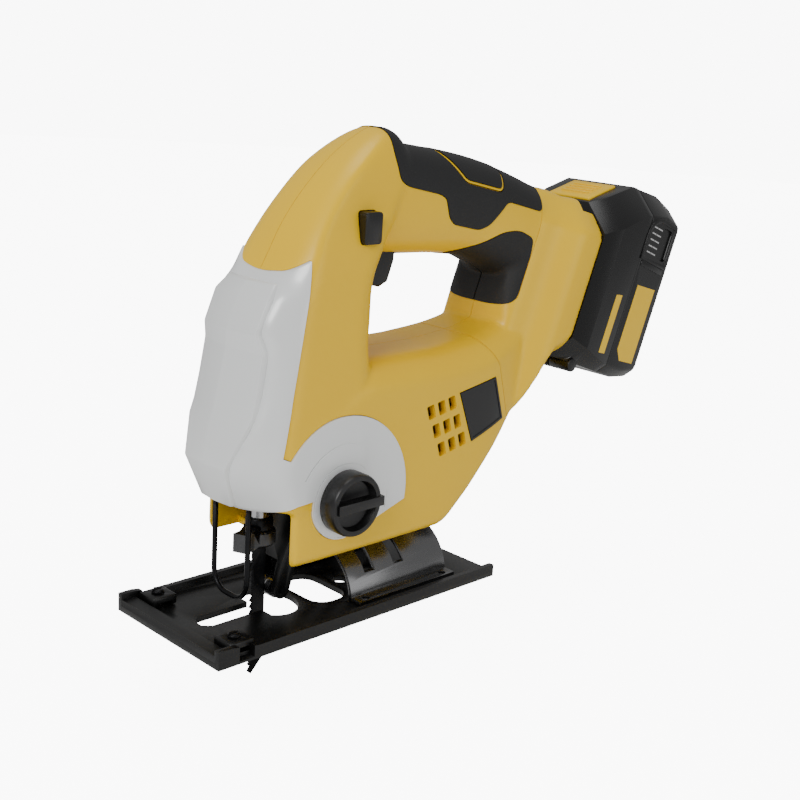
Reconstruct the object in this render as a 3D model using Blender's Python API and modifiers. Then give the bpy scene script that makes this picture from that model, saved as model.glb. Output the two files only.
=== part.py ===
"""Cordless jigsaw with a D-handle, as separate solids.

Lengths are written in millimetres and turned into metres where a mesh is made.
X runs from the front edge of the shoe towards the battery, Y to the tool's right,
Z up from the sole. The empty jigsaw_frame then moves the lot so that the origin
lies on the sole under the bevel bracket.
"""

import math

import bmesh
import bpy
from mathutils import Matrix, Vector

MM = 0.001
WELD = 1e-6
GAP = 0.3
SOLE_REFERENCE_X = 110.5

# Shoe
SHOE_LENGTH = 171.0
SHOE_WIDTH = 76.0
SHOE_FLOOR = 2.8
SHOE_RIM = 6.0
SHOE_RIM_WIDTH = 3.0
SHOE_FRONT_BAR = 8.5
SHOE_FRONT_DEPTH = 7.0
SLOT_WIDTH = 11.0
BLADE_WELL = 32.0

# Bevel bracket: a half tube whose axis is the tilt axis
BEVEL_AXIS_Z = 2.0
BEVEL_RADIUS = 24.0
BEVEL_SHEET = 1.8
BEVEL_FRONT_X = 87.0
BEVEL_REAR_X = 150.0

# Body
BODY_WIDTH = 65.0
BODY_BOTTOM = 32.0
BODY_TOP = 119.0
WALL = 3.0
COVER_SHEET = 2.0
COVER_PROUD = 0.8
CASE_WALL = COVER_SHEET + GAP + 2.3
GRIP_WIDTH = 40.0
GRIP_SKIN = 1.6
GRIP_PROUD = 0.3

# Drive line
PLUNGER_X = 49.5
PLUNGER_RADIUS = 5.0
STROKE = 20.0
GEAR_Z = 96.0
GEAR_TEETH = 40
PINION_TEETH = 8
GEAR_MODULE = 1.0
GEAR_FRONT_X = 61.5
GEAR_WIDTH = 7.0
MOTOR_RADIUS = 21.0
MOTOR_FRONT_X = 79.0
MOTOR_LENGTH = 60.0

# Blade and its clamp
BLADE_WIDTH = 8.0
BLADE_THICKNESS = 1.4
BLADE_TIP_Z = -31.0
TOOTH_PITCH = 3.2
TOOTH_DEPTH = 1.6
CLAMP_RADIUS = 6.4
CLAMP_RING_Z = 34.0
CLAMP_RING_HEIGHT = 7.0
LEVER_ANGLE = 20.0
ROLLER_RADIUS = 5.0
ROLLER_Z = 11.0
GUARD_X = 34.0
GUARD_HALF = 12.0
GUARD_TOP = 64.0
GUARD_RADIUS = 1.25
MOUTH_HALF = 10.4

# Orbital selector
KNOB_X = 70.5
KNOB_Z = 59.5
KNOB_RADIUS = 14.5
EAR_RADIUS = 38.5
EAR_BOSS_RADIUS = 18.0

# Battery, which slides on an axis tilted back from the vertical
BATTERY_TILT = 20.0
BATTERY_FACE = 171.0
BATTERY_WIDTH = 75.0
BATTERY_DEPTH = 57.0
BATTERY_LOW = 174.0
BATTERY_HIGH = 274.0
CELL_RADIUS = 9.1
CELL_LENGTH = 65.0
CELL_PITCH = 18.4
CELLS_IN_ROW = 4
CELL_LIFT = 4.6
RAIL_WIDTH = 44.0

COLOURS = {
    "yellow_abs": ((0.83, 0.56, 0.04), 0.38, 0.0),
    "silver_paint": ((0.72, 0.73, 0.74), 0.3, 0.4),
    "black_rubber": ((0.03, 0.03, 0.032), 0.6, 0.0),
    "black_plastic": ((0.02, 0.02, 0.022), 0.4, 0.0),
    "grey_plastic": ((0.1, 0.1, 0.1), 0.45, 0.0),
    "black_steel": ((0.02, 0.02, 0.02), 0.4, 0.6),
    "bare_steel": ((0.42, 0.42, 0.43), 0.3, 1.0),
    "bright_steel": ((0.6, 0.6, 0.6), 0.2, 1.0),
    "copper": ((0.7, 0.32, 0.15), 0.3, 1.0),
    "board_green": ((0.02, 0.16, 0.07), 0.5, 0.0),
    "cell_blue": ((0.03, 0.12, 0.3), 0.35, 0.0),
}


# ---------------------------------------------------------------- tools


def clear_scene():
    for thing in list(bpy.data.objects):
        bpy.data.objects.remove(thing)
    for mesh in list(bpy.data.meshes):
        bpy.data.meshes.remove(mesh)


def new_collection(name):
    collection = bpy.data.collections.new(name)
    bpy.context.scene.collection.children.link(collection)
    return collection


def make_material(name):
    colour, roughness, metallic = COLOURS[name]
    material = bpy.data.materials.get(name) or bpy.data.materials.new(name)
    material.use_nodes = True
    shader = material.node_tree.nodes["Principled BSDF"]
    shader.inputs["Base Color"].default_value = (*colour, 1.0)
    shader.inputs["Roughness"].default_value = roughness
    shader.inputs["Metallic"].default_value = metallic
    material.diffuse_color = (*colour, 1.0)
    return material


def wrap(mesh, name="work"):
    """An object for this mesh, in the collection of working solids."""
    thing = bpy.data.objects.new(name, mesh)
    WORK.objects.link(thing)
    thing.hide_render = True
    thing.display_type = "WIRE"
    return thing


def evaluated_mesh(thing):
    bpy.context.view_layer.update()
    graph = bpy.context.evaluated_depsgraph_get()
    return bpy.data.meshes.new_from_object(thing.evaluated_get(graph))


def discard(*things):
    for thing in things:
        bpy.data.objects.remove(thing)


def placed(thing, matrix):
    """Moves the mesh itself, so that the object stays at the origin."""
    thing.data.transform(matrix)
    return thing


def tidy(mesh, turn_out=True):
    """Welds a mesh. Its faces are turned out too, unless a hollow inside it must stay one."""
    work = bmesh.new()
    work.from_mesh(mesh)
    bmesh.ops.remove_doubles(work, verts=work.verts, dist=WELD)
    if turn_out:
        bmesh.ops.recalc_face_normals(work, faces=work.faces)
    work.to_mesh(mesh)
    work.free()
    return mesh


def frame_matrix(u, v, w, origin=(0, 0, 0)):
    """Takes flat coordinates u, v, w to the tool's axes."""
    rows = Matrix((u, v, w)).transposed().to_4x4()
    rows.translation = Vector(origin) * MM
    return rows


TILT = math.radians(BATTERY_TILT)
BACK = Vector((math.cos(TILT), 0, -math.sin(TILT)))
ALONG = Vector((math.sin(TILT), 0, math.cos(TILT)))
SIDE_VIEW = frame_matrix((1, 0, 0), (0, 0, 1), (0, -1, 0))
PLAN_VIEW = frame_matrix((1, 0, 0), (0, 1, 0), (0, 0, 1))
FRONT_VIEW = frame_matrix((0, 1, 0), (0, 0, 1), (1, 0, 0))
PACK_VIEW = frame_matrix(BACK, ALONG, (0, -1, 0))


def arc(centre, radius, start, end, steps):
    """Points on a circle, from one angle in degrees to another."""
    turns = [math.radians(start + (end - start) * i / steps) for i in range(steps + 1)]
    return [(centre[0] + radius * math.cos(t), centre[1] + radius * math.sin(t)) for t in turns]


def rounded_box(low, high, radius, steps=4):
    (x0, y0), (x1, y1) = low, high
    corners = [(x1 - radius, y1 - radius, 0), (x0 + radius, y1 - radius, 90)]
    corners += [(x0 + radius, y0 + radius, 180), (x1 - radius, y0 + radius, 270)]
    return [p for x, y, a in corners for p in arc((x, y), radius, a, a + 90, steps)]


def sheet(loops, low, high, view):
    """A flat outline, with any holes as further loops, filled and given a thickness."""
    curve = bpy.data.curves.new("outline", "CURVE")
    curve.dimensions = "2D"
    curve.fill_mode = "BOTH"
    curve.extrude = (high - low) / 2 * MM
    for loop in loops:
        spline = curve.splines.new("POLY")
        spline.points.add(len(loop) - 1)
        for point, (u, v) in zip(spline.points, loop):
            point.co = (u * MM, v * MM, 0, 1)
        spline.use_cyclic_u = True
    holder = wrap(curve, "outline")
    mesh = tidy(evaluated_mesh(holder))
    discard(holder)
    middle = (low + high) / 2 * MM
    flip = -1 if view in (SIDE_VIEW, PACK_VIEW) else 1
    mesh.transform(view @ Matrix.Translation((0, 0, middle * flip)))
    return wrap(tidy(mesh))


def loft(rings):
    """A solid through rings of equal count, closed by a face at each end."""
    work = bmesh.new()
    rows = [[work.verts.new(Vector(p) * MM) for p in ring] for ring in rings]
    for near, far in zip(rows, rows[1:]):
        count = len(near)
        for i in range(count):
            j = (i + 1) % count
            work.faces.new((near[i], near[j], far[j], far[i]))
    work.faces.new(rows[0])
    work.faces.new(rows[-1])
    bmesh.ops.recalc_face_normals(work, faces=work.faces)
    if work.calc_volume(signed=True) < 0:
        bmesh.ops.reverse_faces(work, faces=work.faces)
    bmesh.ops.triangulate(work, faces=work.faces)
    mesh = bpy.data.meshes.new("loft")
    work.to_mesh(mesh)
    work.free()
    return wrap(mesh)


AXES = {"X": Matrix.Rotation(math.pi / 2, 4, "Y"), "Y": Matrix.Rotation(-math.pi / 2, 4, "X")}
AXES["Z"] = Matrix.Identity(4)


def rod(axis, low, high, centre, radius, segments=24, tip_radius=None):
    """A cylinder or cone along an axis, from low to high, centred on the other two values."""
    work = bmesh.new()
    top = radius if tip_radius is None else tip_radius
    size = {"segments": segments, "radius1": radius * MM, "radius2": top * MM}
    bmesh.ops.create_cone(work, cap_ends=True, depth=(high - low) * MM, **size)
    mesh = bpy.data.meshes.new("rod")
    work.to_mesh(mesh)
    work.free()
    at = {"X": ((low + high) / 2, *centre), "Z": (*centre, (low + high) / 2)}
    at["Y"] = (centre[0], (low + high) / 2, centre[1])
    mesh.transform(Matrix.Translation(Vector(at[axis]) * MM) @ AXES[axis])
    return wrap(mesh)


def block(low, high):
    work = bmesh.new()
    bmesh.ops.create_cube(work, size=1.0)
    mesh = bpy.data.meshes.new("block")
    work.to_mesh(mesh)
    work.free()
    low, high = Vector(low) * MM, Vector(high) * MM
    size = Matrix.Diagonal((*(high - low), 1))
    mesh.transform(Matrix.Translation((low + high) / 2) @ size)
    return wrap(mesh)


def pack_block(back, along, side):
    """A block in the battery's own directions: back from the tool, along the rails, across."""
    thing = block((back[0], -side[1], along[0]), (back[1], -side[0], along[1]))
    turn = frame_matrix(BACK, (0, 1, 0), ALONG)
    return placed(thing, turn)


def turned(profile, axis, centre, segments=32):
    """A turned solid. The profile is (radius, place along the axis), from the top down."""
    mesh = bpy.data.meshes.new("profile")
    points = [(r * MM, 0, h * MM) for r, h in profile]
    mesh.from_pydata(points, [(i, i + 1) for i in range(len(points) - 1)], [])
    thing = wrap(mesh)
    screw = thing.modifiers.new("turn", "SCREW")
    screw.steps = screw.render_steps = segments
    screw.use_merge_vertices = True
    screw.merge_threshold = 1e-5
    solid = wrap(tidy(evaluated_mesh(thing)))
    discard(thing)
    at = {"X": (0, *centre), "Y": (centre[0], 0, centre[1]), "Z": (*centre, 0)}
    return placed(solid, Matrix.Translation(Vector(at[axis]) * MM) @ AXES[axis])


def wire(points, radius):
    curve = bpy.data.curves.new("wire", "CURVE")
    curve.dimensions = "3D"
    curve.bevel_depth = radius * MM
    curve.bevel_resolution = 2
    curve.use_fill_caps = True
    spline = curve.splines.new("POLY")
    spline.points.add(len(points) - 1)
    for point, place in zip(spline.points, points):
        point.co = (*(Vector(place) * MM), 1)
    holder = wrap(curve)
    mesh = tidy(evaluated_mesh(holder))
    discard(holder)
    return wrap(mesh)


def boolean(target, tool, operation, keep=False):
    """EXACT drops whole skins cut between two lofts, and every mesh here is closed, so MANIFOLD it is."""
    modifier = target.modifiers.new(operation, "BOOLEAN")
    modifier.operation = operation
    modifier.solver = "MANIFOLD"
    modifier.object = tool
    result = evaluated_mesh(target)
    target.modifiers.clear()
    target.data = tidy(result, turn_out=False)
    if not keep:
        discard(tool)
    return target


def cut(target, *tools, keep=False):
    for tool in tools:
        boolean(target, tool, "DIFFERENCE", keep)
    return target


def join(target, *tools):
    for tool in tools:
        boolean(target, tool, "UNION")
    return target


def common(target, tool, keep=False):
    return boolean(target, tool, "INTERSECT", keep)


def copy(thing):
    return wrap(thing.data.copy())


def mirrored(thing):
    """The same solid on the other side of the tool."""
    twin = copy(thing)
    twin.data.transform(Matrix.Diagonal((1, -1, 1, 1)))
    twin.data.flip_normals()
    return twin


def rounded(thing, width, segments=2, angle=35):
    bevel = thing.modifiers.new("edges", "BEVEL")
    bevel.width = width * MM
    bevel.segments = segments
    bevel.limit_method = "ANGLE"
    bevel.angle_limit = math.radians(angle)
    mesh = evaluated_mesh(thing)
    thing.modifiers.clear()
    thing.data = tidy(mesh)
    return thing


def flattened(mesh):
    """Joins the faces that lie in one plane."""
    work = bmesh.new()
    work.from_mesh(mesh)
    size = {"verts": work.verts, "edges": work.edges, "angle_limit": math.radians(0.05)}
    bmesh.ops.dissolve_limit(work, use_dissolve_boundaries=False, **size)
    work.to_mesh(mesh)
    work.free()
    return mesh


def node(thing, name, colour, pivot=(0, 0, 0)):
    """Names a finished solid, gives it its material and puts its origin on its pivot."""
    thing.name = name
    thing.data.name = name
    WORK.objects.unlink(thing)
    PARTS.objects.link(thing)
    thing.hide_render = False
    thing.display_type = "TEXTURED"
    thing.data.materials.clear()
    thing.data.materials.append(make_material(colour))
    place = Vector(pivot) * MM
    thing.data = flattened(thing.data)
    thing.data.transform(Matrix.Translation(-place))
    thing.location = place
    thing.data.shade_smooth()
    thing.data.set_sharp_from_angle(angle=math.radians(30))
    thing.parent = FRAME
    return thing


# ---------------------------------------------------------------- the body's outer form

HALF = BODY_WIDTH / 2
GRIP_HALF = GRIP_WIDTH / 2

# Nose panel: height, keel x, rim x, rim half width
PANEL = [
    (59, 24, 25, 11),
    (78, 17, 18, 14.5),
    (95, 20, 24, 20),
    (101, 22, 27, 21),
    (112, 24.5, 29.5, 21),
    (128, 28, 32, 20.5),
    (136, 28, 29.5, 18),
    (150, 33.5, 35.5, 18.5),
    (156, 38, 41, 16),
]
PANEL_STEP = 3.5

# Column: height, centre x, rim x, rim half width, shoulder x, share of the half width, rear x
COLUMN = [
    (58, 28, 29, 13, 42, 1.0, 92),
    (78, 21, 21, 15.5, 36.5, 1.0, 92),
    (95, 27, 27, 21, 38.5, 0.97, 92),
    (112, 32.5, 32.5, 22, 42, 0.925, 91),
    (128, 35, 35, 21.5, 45, 0.885, 90),
    (136, 33, 33, 19.5, 46.5, 0.86, 91),
    (150, 38.5, 38.5, 19.5, 50, 0.83, 92),
    (158, 44, 45, 17, 52.5, 0.81, 94),
    (165, 48, 50, 17, 55, 0.78, 99),
    (177, 54.5, 57, 15.5, 61, 0.69, 107),
    (188, 62.5, 65, 14.5, 69, 0.63, 115),
    (202, 76, 78.5, 13, 82, 0.575, 121),
    (211, 87.5, 90, 11, 94, 0.48, 119),
    (217, 98, 100, 8, 103.5, 0.35, 115),
    (219.5, 104, 105, 4, 107, 0.2, 111),
]

# Motor case: x, bottom, top, half width
CASE = [
    (44, BODY_BOTTOM, 72, HALF - 0.6),
    (58, BODY_BOTTOM, 104, HALF),
    (92, BODY_BOTTOM, BODY_TOP, HALF),
    (135, BODY_BOTTOM, BODY_TOP, HALF),
    (150, BODY_BOTTOM + 7, BODY_TOP + 1, HALF - 0.5),
    (168, BODY_BOTTOM + 22, BODY_TOP + 3, HALF - 1.5),
    (192, BODY_BOTTOM + 47, BODY_TOP + 10, HALF - 6),
]

# Handle: x, underside, top, half width
GRIP = [
    (88, 164, 209, GRIP_HALF - 4),
    (104, 163, 215, GRIP_HALF - 1),
    (118, 162, 213, GRIP_HALF - 0.5),
    (140, 161, 210, GRIP_HALF),
    (161, 159, 206.5, GRIP_HALF),
    (180, 152, 202, GRIP_HALF + 1),
    (196, 143, 197, GRIP_HALF + 2),
    (214, 134, 190.5, GRIP_HALF + 3),
    (226, 132, 186, GRIP_HALF + 3.5),
]

# Battery bracket: back, lowest along, highest along, half width
BRACKET = [
    (126, 190, 245, GRIP_HALF - 4),
    (131, 165, 251, GRIP_HALF + 2),
    (143, 128, 253, GRIP_HALF + 5),
    (151, 136, 253, HALF - 3),
    (156, 152, 254, HALF - 0.5),
    (161, 167, 255, HALF),
    (BATTERY_FACE, 174, 256, HALF),
]


def column_ring(row, inset, top):
    z, centre_x, rim_x, rim_y, shoulder_x, share, rear_x = row
    side = max(HALF * share - inset, 1.5)
    rim_y = min(max(rim_y - inset * 0.6, 0.8), side - 0.4)
    corner = min(9.0, side * 0.6)
    half = [
        (rim_x + inset, rim_y),
        (shoulder_x + inset * 0.5, side),
        (rear_x - corner - inset, side),
        (rear_x - corner * 0.3 - inset, side - corner * 0.3),
        (rear_x - inset, side - corner),
    ]
    other = [(x, -y) for x, y in reversed(half)]
    level = z + inset if z == COLUMN[0][0] else z
    level = z - inset if top else level
    return [(x, y, level) for x, y in [(centre_x + inset, 0)] + half + other]


def column_solid(inset):
    """The upright front of the body. An inset shrinks it evenly, for walls and clearances."""
    rings = []
    last = len(COLUMN) - 1
    for index, row in enumerate(COLUMN):
        rings.append(column_ring(row, inset, index == last))
    keep = [rings[0]]
    for ring in rings[1:]:
        if ring[0][2] > keep[-1][0][2] + 0.2 and ring[0][2] < rings[-1][0][2]:
            keep.append(ring)
    keep.append(rings[-1])
    return loft(keep)


def case_ring(row, inset):
    x, bottom, top, side = row
    bottom, top, side = bottom + inset, top - inset, side - inset
    low, high = 3.0, 17.0
    half = [(side - low, bottom), (side, bottom + low), (side, top - high)]
    half += [(side - high + high * math.cos(a), top - high + high * math.sin(a)) for a in (0.5, 1.0)]
    half += [(side - high, top)]
    return [(x, y, z) for y, z in half + [(-y, z) for y, z in reversed(half)]]


def case_solid(inset):
    rings = [case_ring(row, inset) for row in CASE]
    rings[0] = [(x + inset, y, z) for x, y, z in rings[0]]
    rings[-1] = [(x - inset, y, z) for x, y, z in rings[-1]]
    return loft(rings)


def grip_ring(row, inset, count=16):
    x, bottom, top, side = row
    middle, tall, side = (bottom + top) / 2, (top - bottom) / 2 - inset, side - inset
    ring = []
    for i in range(count):
        turn = 2 * math.pi * (i + 0.5) / count
        c, s = math.cos(turn), math.sin(turn)
        y = side * math.copysign(abs(c) ** 0.8, c)
        z = middle + tall * math.copysign(abs(s) ** 0.85, s)
        ring.append((x, y, z))
    return ring


def grip_solid(inset):
    rings = [grip_ring(row, inset) for row in GRIP]
    rings[0] = [(x + inset, y, z) for x, y, z in rings[0]]
    rings[-1] = [(x - inset, y, z) for x, y, z in rings[-1]]
    return loft(rings)


def bracket_outline(low, high, side):
    """Half of the battery flange seen from behind: across, and along the rails."""
    half = [(side * 0.55, low), (side * 0.85, low + 5), (side, low + 12), (side, high - 16)]
    return half + [(side * 0.53, high)]


def bracket_ring(row, inset):
    back, low, high, side = row
    half = bracket_outline(low + inset, high - inset, side - inset)
    ring = half + [(-y, a) for y, a in reversed(half)]
    return [tuple(BACK * back + ALONG * a + Vector((0, y, 0))) for y, a in ring]


def bracket_solid(inset, open_back=0.0):
    rows = [list(row) for row in BRACKET]
    rows[0][0] += inset
    rows[-1][0] += open_back - (0 if open_back else inset)
    return loft([bracket_ring(row, inset) for row in rows])


def envelope(inset, grip_inset=None):
    grip_inset = inset if grip_inset is None else grip_inset
    body = column_solid(inset)
    return join(body, case_solid(inset), grip_solid(grip_inset), bracket_solid(grip_inset))


# ---------------------------------------------------------------- regions of the skin

KNOB_CENTRE = (KNOB_X, KNOB_Z)
COVER_BOTTOM = 59.0
COVER_TOP = 157.0
MOUTH_TOP = 67.0


def grown(outline, distance):
    """An outline moved outwards by a distance, corner by corner."""
    area = sum(a[0] * b[1] - b[0] * a[1] for a, b in zip(outline, outline[1:] + outline[:1]))
    turn = 1 if area > 0 else -1
    result = []
    for before, here, after in zip(outline[-1:] + outline[:-1], outline, outline[1:] + outline[:1]):
        a = (Vector(here) - Vector(before)).normalized()
        b = (Vector(after) - Vector(here)).normalized()
        normal = (Vector((a.y, -a.x)) + Vector((b.y, -b.x))).normalized()
        stretch = max(normal.dot(Vector((a.y, -a.x))), 0.5)
        result.append(tuple(Vector(here) + normal * distance * turn / stretch))
    return result


def cover_outline(grow):
    """Side view of the nose cover with its ear, grown outwards for the seam in the body."""
    front = [(0, COVER_BOTTOM - 2), (0, COVER_TOP), (42, COVER_TOP), (54, COVER_TOP + 9), (36, 84.5)]
    ear = arc(KNOB_CENTRE, EAR_RADIUS, 143, -10, 12)
    boss = arc(KNOB_CENTRE, EAR_BOSS_RADIUS, -72, -190, 7)
    return grown(front + ear + boss + [(44, COVER_BOTTOM + 3), (34, COVER_BOTTOM - 1)], grow)


SEAM_LOW = ALONG * 195 + BACK * 132
SEAM_HIGH = ALONG * 262 + BACK * 132


def rear_outline(grow):
    """Side view of the rear shell that carries the battery."""
    start = [(SEAM_HIGH.x - grow, SEAM_HIGH.z), (SEAM_LOW.x - grow, SEAM_LOW.z)]
    start += [(172 - grow, 128), (163 - grow, 121), (173 - grow, 108), (183 - grow, 79)]
    return start + [(182 - grow, 55), (250, 55), (290, 230)]


GRIP_REGION = [
    (107, 228), (105.5, 209), (107.5, 198), (113, 195), (133, 191), (137, 189), (140, 180),
    (144, 176.5), (162, 173), (168, 175), (180, 186),
]
INSERT_REGION = [(142, 222), (142, 209), (152, 197), (176, 192), (179.5, 199), (182, 218)]
REAR_GRIP_REGION = [
    (150, 154), (149, 161), (166, 165.5), (178, 171), (189, 171.5), (199, 167),
]
PLATE_REGION = [(143.5, 98), (170, 102), (178, 80), (154, 72.5)]
VENT_SIZE = (4.6, 6.6)
VENT_PITCH = (7.0, 9.6)
VENT_FIRST = (124.5, 91.0)
VENT_LEAN = 4.2


def grip_outline(grow):
    high = (SEAM_HIGH.x - GAP + grow, SEAM_HIGH.z)
    low_at = ALONG * 239.5 + BACK * (132 - GAP)
    return grown(GRIP_REGION + [(low_at.x, low_at.z), high], grow)


def rear_grip_outline(grow):
    upper = ALONG * 218 + BACK * (132 - GAP * 2)
    lower = ALONG * 193.5 + BACK * (132 - GAP * 2)
    return grown(REAR_GRIP_REGION + [(upper.x, upper.z), (lower.x, lower.z), (176, 131)], grow)


def skin(outer, inner, loops, y_low=-60, y_high=60):
    """The shell between two insets of the body, inside an outline seen from the side."""
    shell = common(envelope(outer), sheet(loops, y_low, y_high, SIDE_VIEW))
    return cut(shell, envelope(inner))


def recess(loops, depth):
    """What a flush piece needs taken out of the body under it."""
    region = sheet(loops, -60, 60, SIDE_VIEW)
    return cut(region, envelope(depth))


# ---------------------------------------------------------------- body shells

TRIGGER_AXIS = Vector((-0.35, 0, 0.937)).normalized()
TRIGGER_TRAVEL = 5.0
TRIGGER_WIDTH = 17.0
TRIGGER_CLEARANCE = 0.4
TRIGGER = [(101, 152), (104, 149), (109, 147.8), (114, 150), (117.5, 160), (118, 170), (104, 170), (102, 164)]
LOCK_CENTRE = (86.5, 178.5)
LOCK_SIZE = (10.0, 14.0)
LOCK_TRAVEL = 3.0
SCREWS = [(90, 201), (156, 182), (80, 41.5), (150, 55.5)]
REAR_SCREWS = [(196, 106)]
SCREW_RADIUS = 1.5
SCREW_HEAD_RADIUS = 3.0
BOSS_RADIUS = 4.3
BOSS_INSET = 2.4
SCREW_HEAD_Y = 12.0
RIB_PLACES = [96.0, 113.0]
RIB = 1.6


def swept(outline, shift, steps):
    """Copies of an outline along a shift, close enough together to cut one clear way."""
    shares = [step / steps for step in range(steps + 1)]
    return [[(x + shift.x * share, z + shift.z * share) for x, z in outline] for share in shares]


def trigger_opening():
    reach = TRIGGER_WIDTH / 2 + TRIGGER_CLEARANCE
    way = swept(grown(TRIGGER, TRIGGER_CLEARANCE), TRIGGER_AXIS * (TRIGGER_TRAVEL + 0.5), 8)
    tools = [sheet([loop], -reach, reach, SIDE_VIEW) for loop in way]
    tools.append(block((103, -9, 165), (117, 9, 179)))
    return tools


def vent_tools():
    tools = []
    for row in range(3):
        for column in range(3):
            x = VENT_FIRST[0] + column * VENT_PITCH[0] + row * VENT_LEAN
            z = VENT_FIRST[1] - row * VENT_PITCH[1] + column * 1.2
            w, h = VENT_SIZE
            loop = [(x - w / 2 - 1, z + h / 2), (x + w / 2 - 1, z + h / 2 + 1)]
            loop += [(x + w / 2 + 1, z - h / 2 + 1), (x - w / 2 + 1, z - h / 2)]
            tools.append(sheet([loop], -60, 60, SIDE_VIEW))
    return tools


def saddle():
    """The block under the case that the bevel bracket turns round."""
    body = block((BEVEL_FRONT_X + 2, -14, BODY_BOTTOM - 12), (BEVEL_REAR_X - 16, 14, BODY_BOTTOM + 3))
    return cut(body, rod("X", 60, 180, (0, BEVEL_AXIS_Z), BEVEL_RADIUS + GAP, 48))


def motor_ribs(cavity):
    ribs = None
    for x in RIB_PLACES:
        rib = block((x, -40, 20), (x + RIB, 40, 112))
        ribs = rib if ribs is None else join(ribs, rib)
    common(ribs, cavity, keep=True)
    cut(ribs, rod("X", 40, 180, (0, MOTOR_Z), MOTOR_RADIUS + GAP, 28))
    return ribs


def case_halves():
    """Left and right clamshells, with bosses, ribs and every opening."""
    body = envelope(0)
    join(body, saddle())
    cut(body, recess([cover_outline(GAP)], COVER_SHEET + GAP))
    cut(body, recess([grip_outline(GAP)], GRIP_SKIN + GAP))
    cut(body, recess([rear_grip_outline(GAP)], GRIP_SKIN + GAP))
    cut(body, recess([grown(PLATE_REGION, GAP)], PLATE_DEPTH + GAP))
    cavity = envelope(CASE_WALL, WALL)
    ribs = motor_ribs(envelope(CASE_WALL - 0.8, WALL - 0.8))
    cut(body, cavity)
    join(body, ribs, common(guard_sockets(), envelope(CASE_WALL - 2)))
    cut(body, sheet([rear_outline(GAP)], -60, 60, SIDE_VIEW))
    inside = envelope(BOSS_INSET)
    for x, z in SCREWS:
        join(body, common(rod("Y", -50, 50, (x, z), BOSS_RADIUS, 16), inside, keep=True))
    discard(inside)
    cut(body, *drive_openings())
    cut(body, *trigger_opening())
    cut(body, *vent_tools())
    return split(body, SCREWS, "housing")


def drive_openings():
    """Mouth for the plunger and roller bracket, and holes for the knob and lock button."""
    slot = block((24, -MOUTH_HALF, 20), (40, MOUTH_HALF, MOUTH_TOP))
    mouth = block((GUARD_X + 4.2, -14, 20), (74, 14, MOUTH_TOP))
    sockets = [rod("Z", 50, GUARD_TOP + 0.4, (GUARD_X, s * GUARD_HALF), GUARD_RADIUS + 0.3, 12) for s in (-1, 1)]
    knob_hole = rod("Y", -60, 0, KNOB_CENTRE, SELECTOR_RADIUS + 0.4, 24)
    low = (LOCK_CENTRE[0] - LOCK_SIZE[0] / 2 - 0.35, LOCK_CENTRE[1] - LOCK_SIZE[1] / 2 - 0.35)
    high = (LOCK_CENTRE[0] + LOCK_SIZE[0] / 2 + 0.35, LOCK_CENTRE[1] + LOCK_SIZE[1] / 2 + 0.35)
    lock_hole = sheet([rounded_box(low, high, 2.0)], -60, 60, SIDE_VIEW)
    bevel_holes = [rod("Z", 10, 46, (x, 0), BEVEL_SCREW_RADIUS + 0.3, 16) for x in BEVEL_SCREW_X]
    return [slot, mouth, knob_hole, lock_hole] + sockets + bevel_holes


def screw_tools(places):
    tools = []
    for x, z in places:
        tools.append(rod("Y", -14, 60, (x, z), SCREW_RADIUS + GAP, 16))
        tools.append(rod("Y", SCREW_HEAD_Y - GAP, 60, (x, z), SCREW_HEAD_RADIUS + GAP, 20))
    return tools


def split(body, screws, name):
    """Cuts a body down its middle plane and hands back left and right."""
    cut(body, *screw_tools(screws))
    left = copy(body)
    cut(left, block((-50, -GAP / 2, -60), (400, 90, 320)))
    cut(body, block((-50, -90, -60), (400, GAP / 2, 320)))
    node(left, name + "_left", "yellow_abs")
    node(body, name + "_right", "yellow_abs")


def rear_shells():
    """The rear shell pair: a collar with a channel that the battery's rail block slides in."""
    body = envelope(0)
    cut(body, recess([grip_outline(GAP)], GRIP_SKIN + GAP))
    cut(body, recess([rear_grip_outline(GAP)], GRIP_SKIN + GAP))
    cut(body, envelope(CASE_WALL, WALL))
    common(body, sheet([rear_outline(0)], -60, 60, SIDE_VIEW))
    half = RAIL_WIDTH / 2 + 0.5
    cut(body, pack_block((RAIL_FRONT - 0.5, 200), (RAIL_LOW - 0.5, 300), (-half, half)))
    inside = envelope(BOSS_INSET)
    for x, z in REAR_SCREWS:
        join(body, common(rod("Y", -50, 50, (x, z), BOSS_RADIUS, 16), inside, keep=True))
    discard(inside)
    split(body, REAR_SCREWS, "rear_shell")


def nose_cover():
    shell = skin(-COVER_PROUD, COVER_SHEET, [cover_outline(0)])
    rings = []
    for z, keel_x, rim_x, rim_y in PANEL:
        back = rim_x + PANEL_STEP
        ring = [(keel_x, 0), (rim_x, rim_y), (back, rim_y), (back, -rim_y), (rim_x, -rim_y)]
        rings.append([(x, y, z) for x, y in ring])
    join(shell, loft(rings))
    cut(shell, block((30, -14.5, 40), (90, 14.5, COVER_BOTTOM + 3)))
    cut(shell, rod("Y", -60, 0, KNOB_CENTRE, SELECTOR_RADIUS + 0.4, 24))
    node(shell, "nose_cover", "silver_paint")


def soft_grips():
    """Overmoulded rubber, left and right, and the saddle-shaped insert on top."""
    for outline, name, clear in (
        (grip_outline(0), "grip_overmould", True),
        (rear_grip_outline(0), "rear_grip", False),
    ):
        piece = skin(-GRIP_PROUD, GRIP_SKIN, [outline])
        if clear:
            cut(piece, sheet([grown(INSERT_REGION, GAP)], -60, 60, SIDE_VIEW))
        left = copy(piece)
        cut(left, block((0, -GAP / 2, 0), (400, 90, 320)))
        cut(piece, block((0, -90, 0), (400, GAP / 2, 320)))
        node(left, name + "_left", "black_rubber")
        node(piece, name + "_right", "black_rubber")
    node(skin(-GRIP_PROUD, GRIP_SKIN, [INSERT_REGION]), "grip_top_insert", "black_rubber")


PLATE_DEPTH = 0.8


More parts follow.
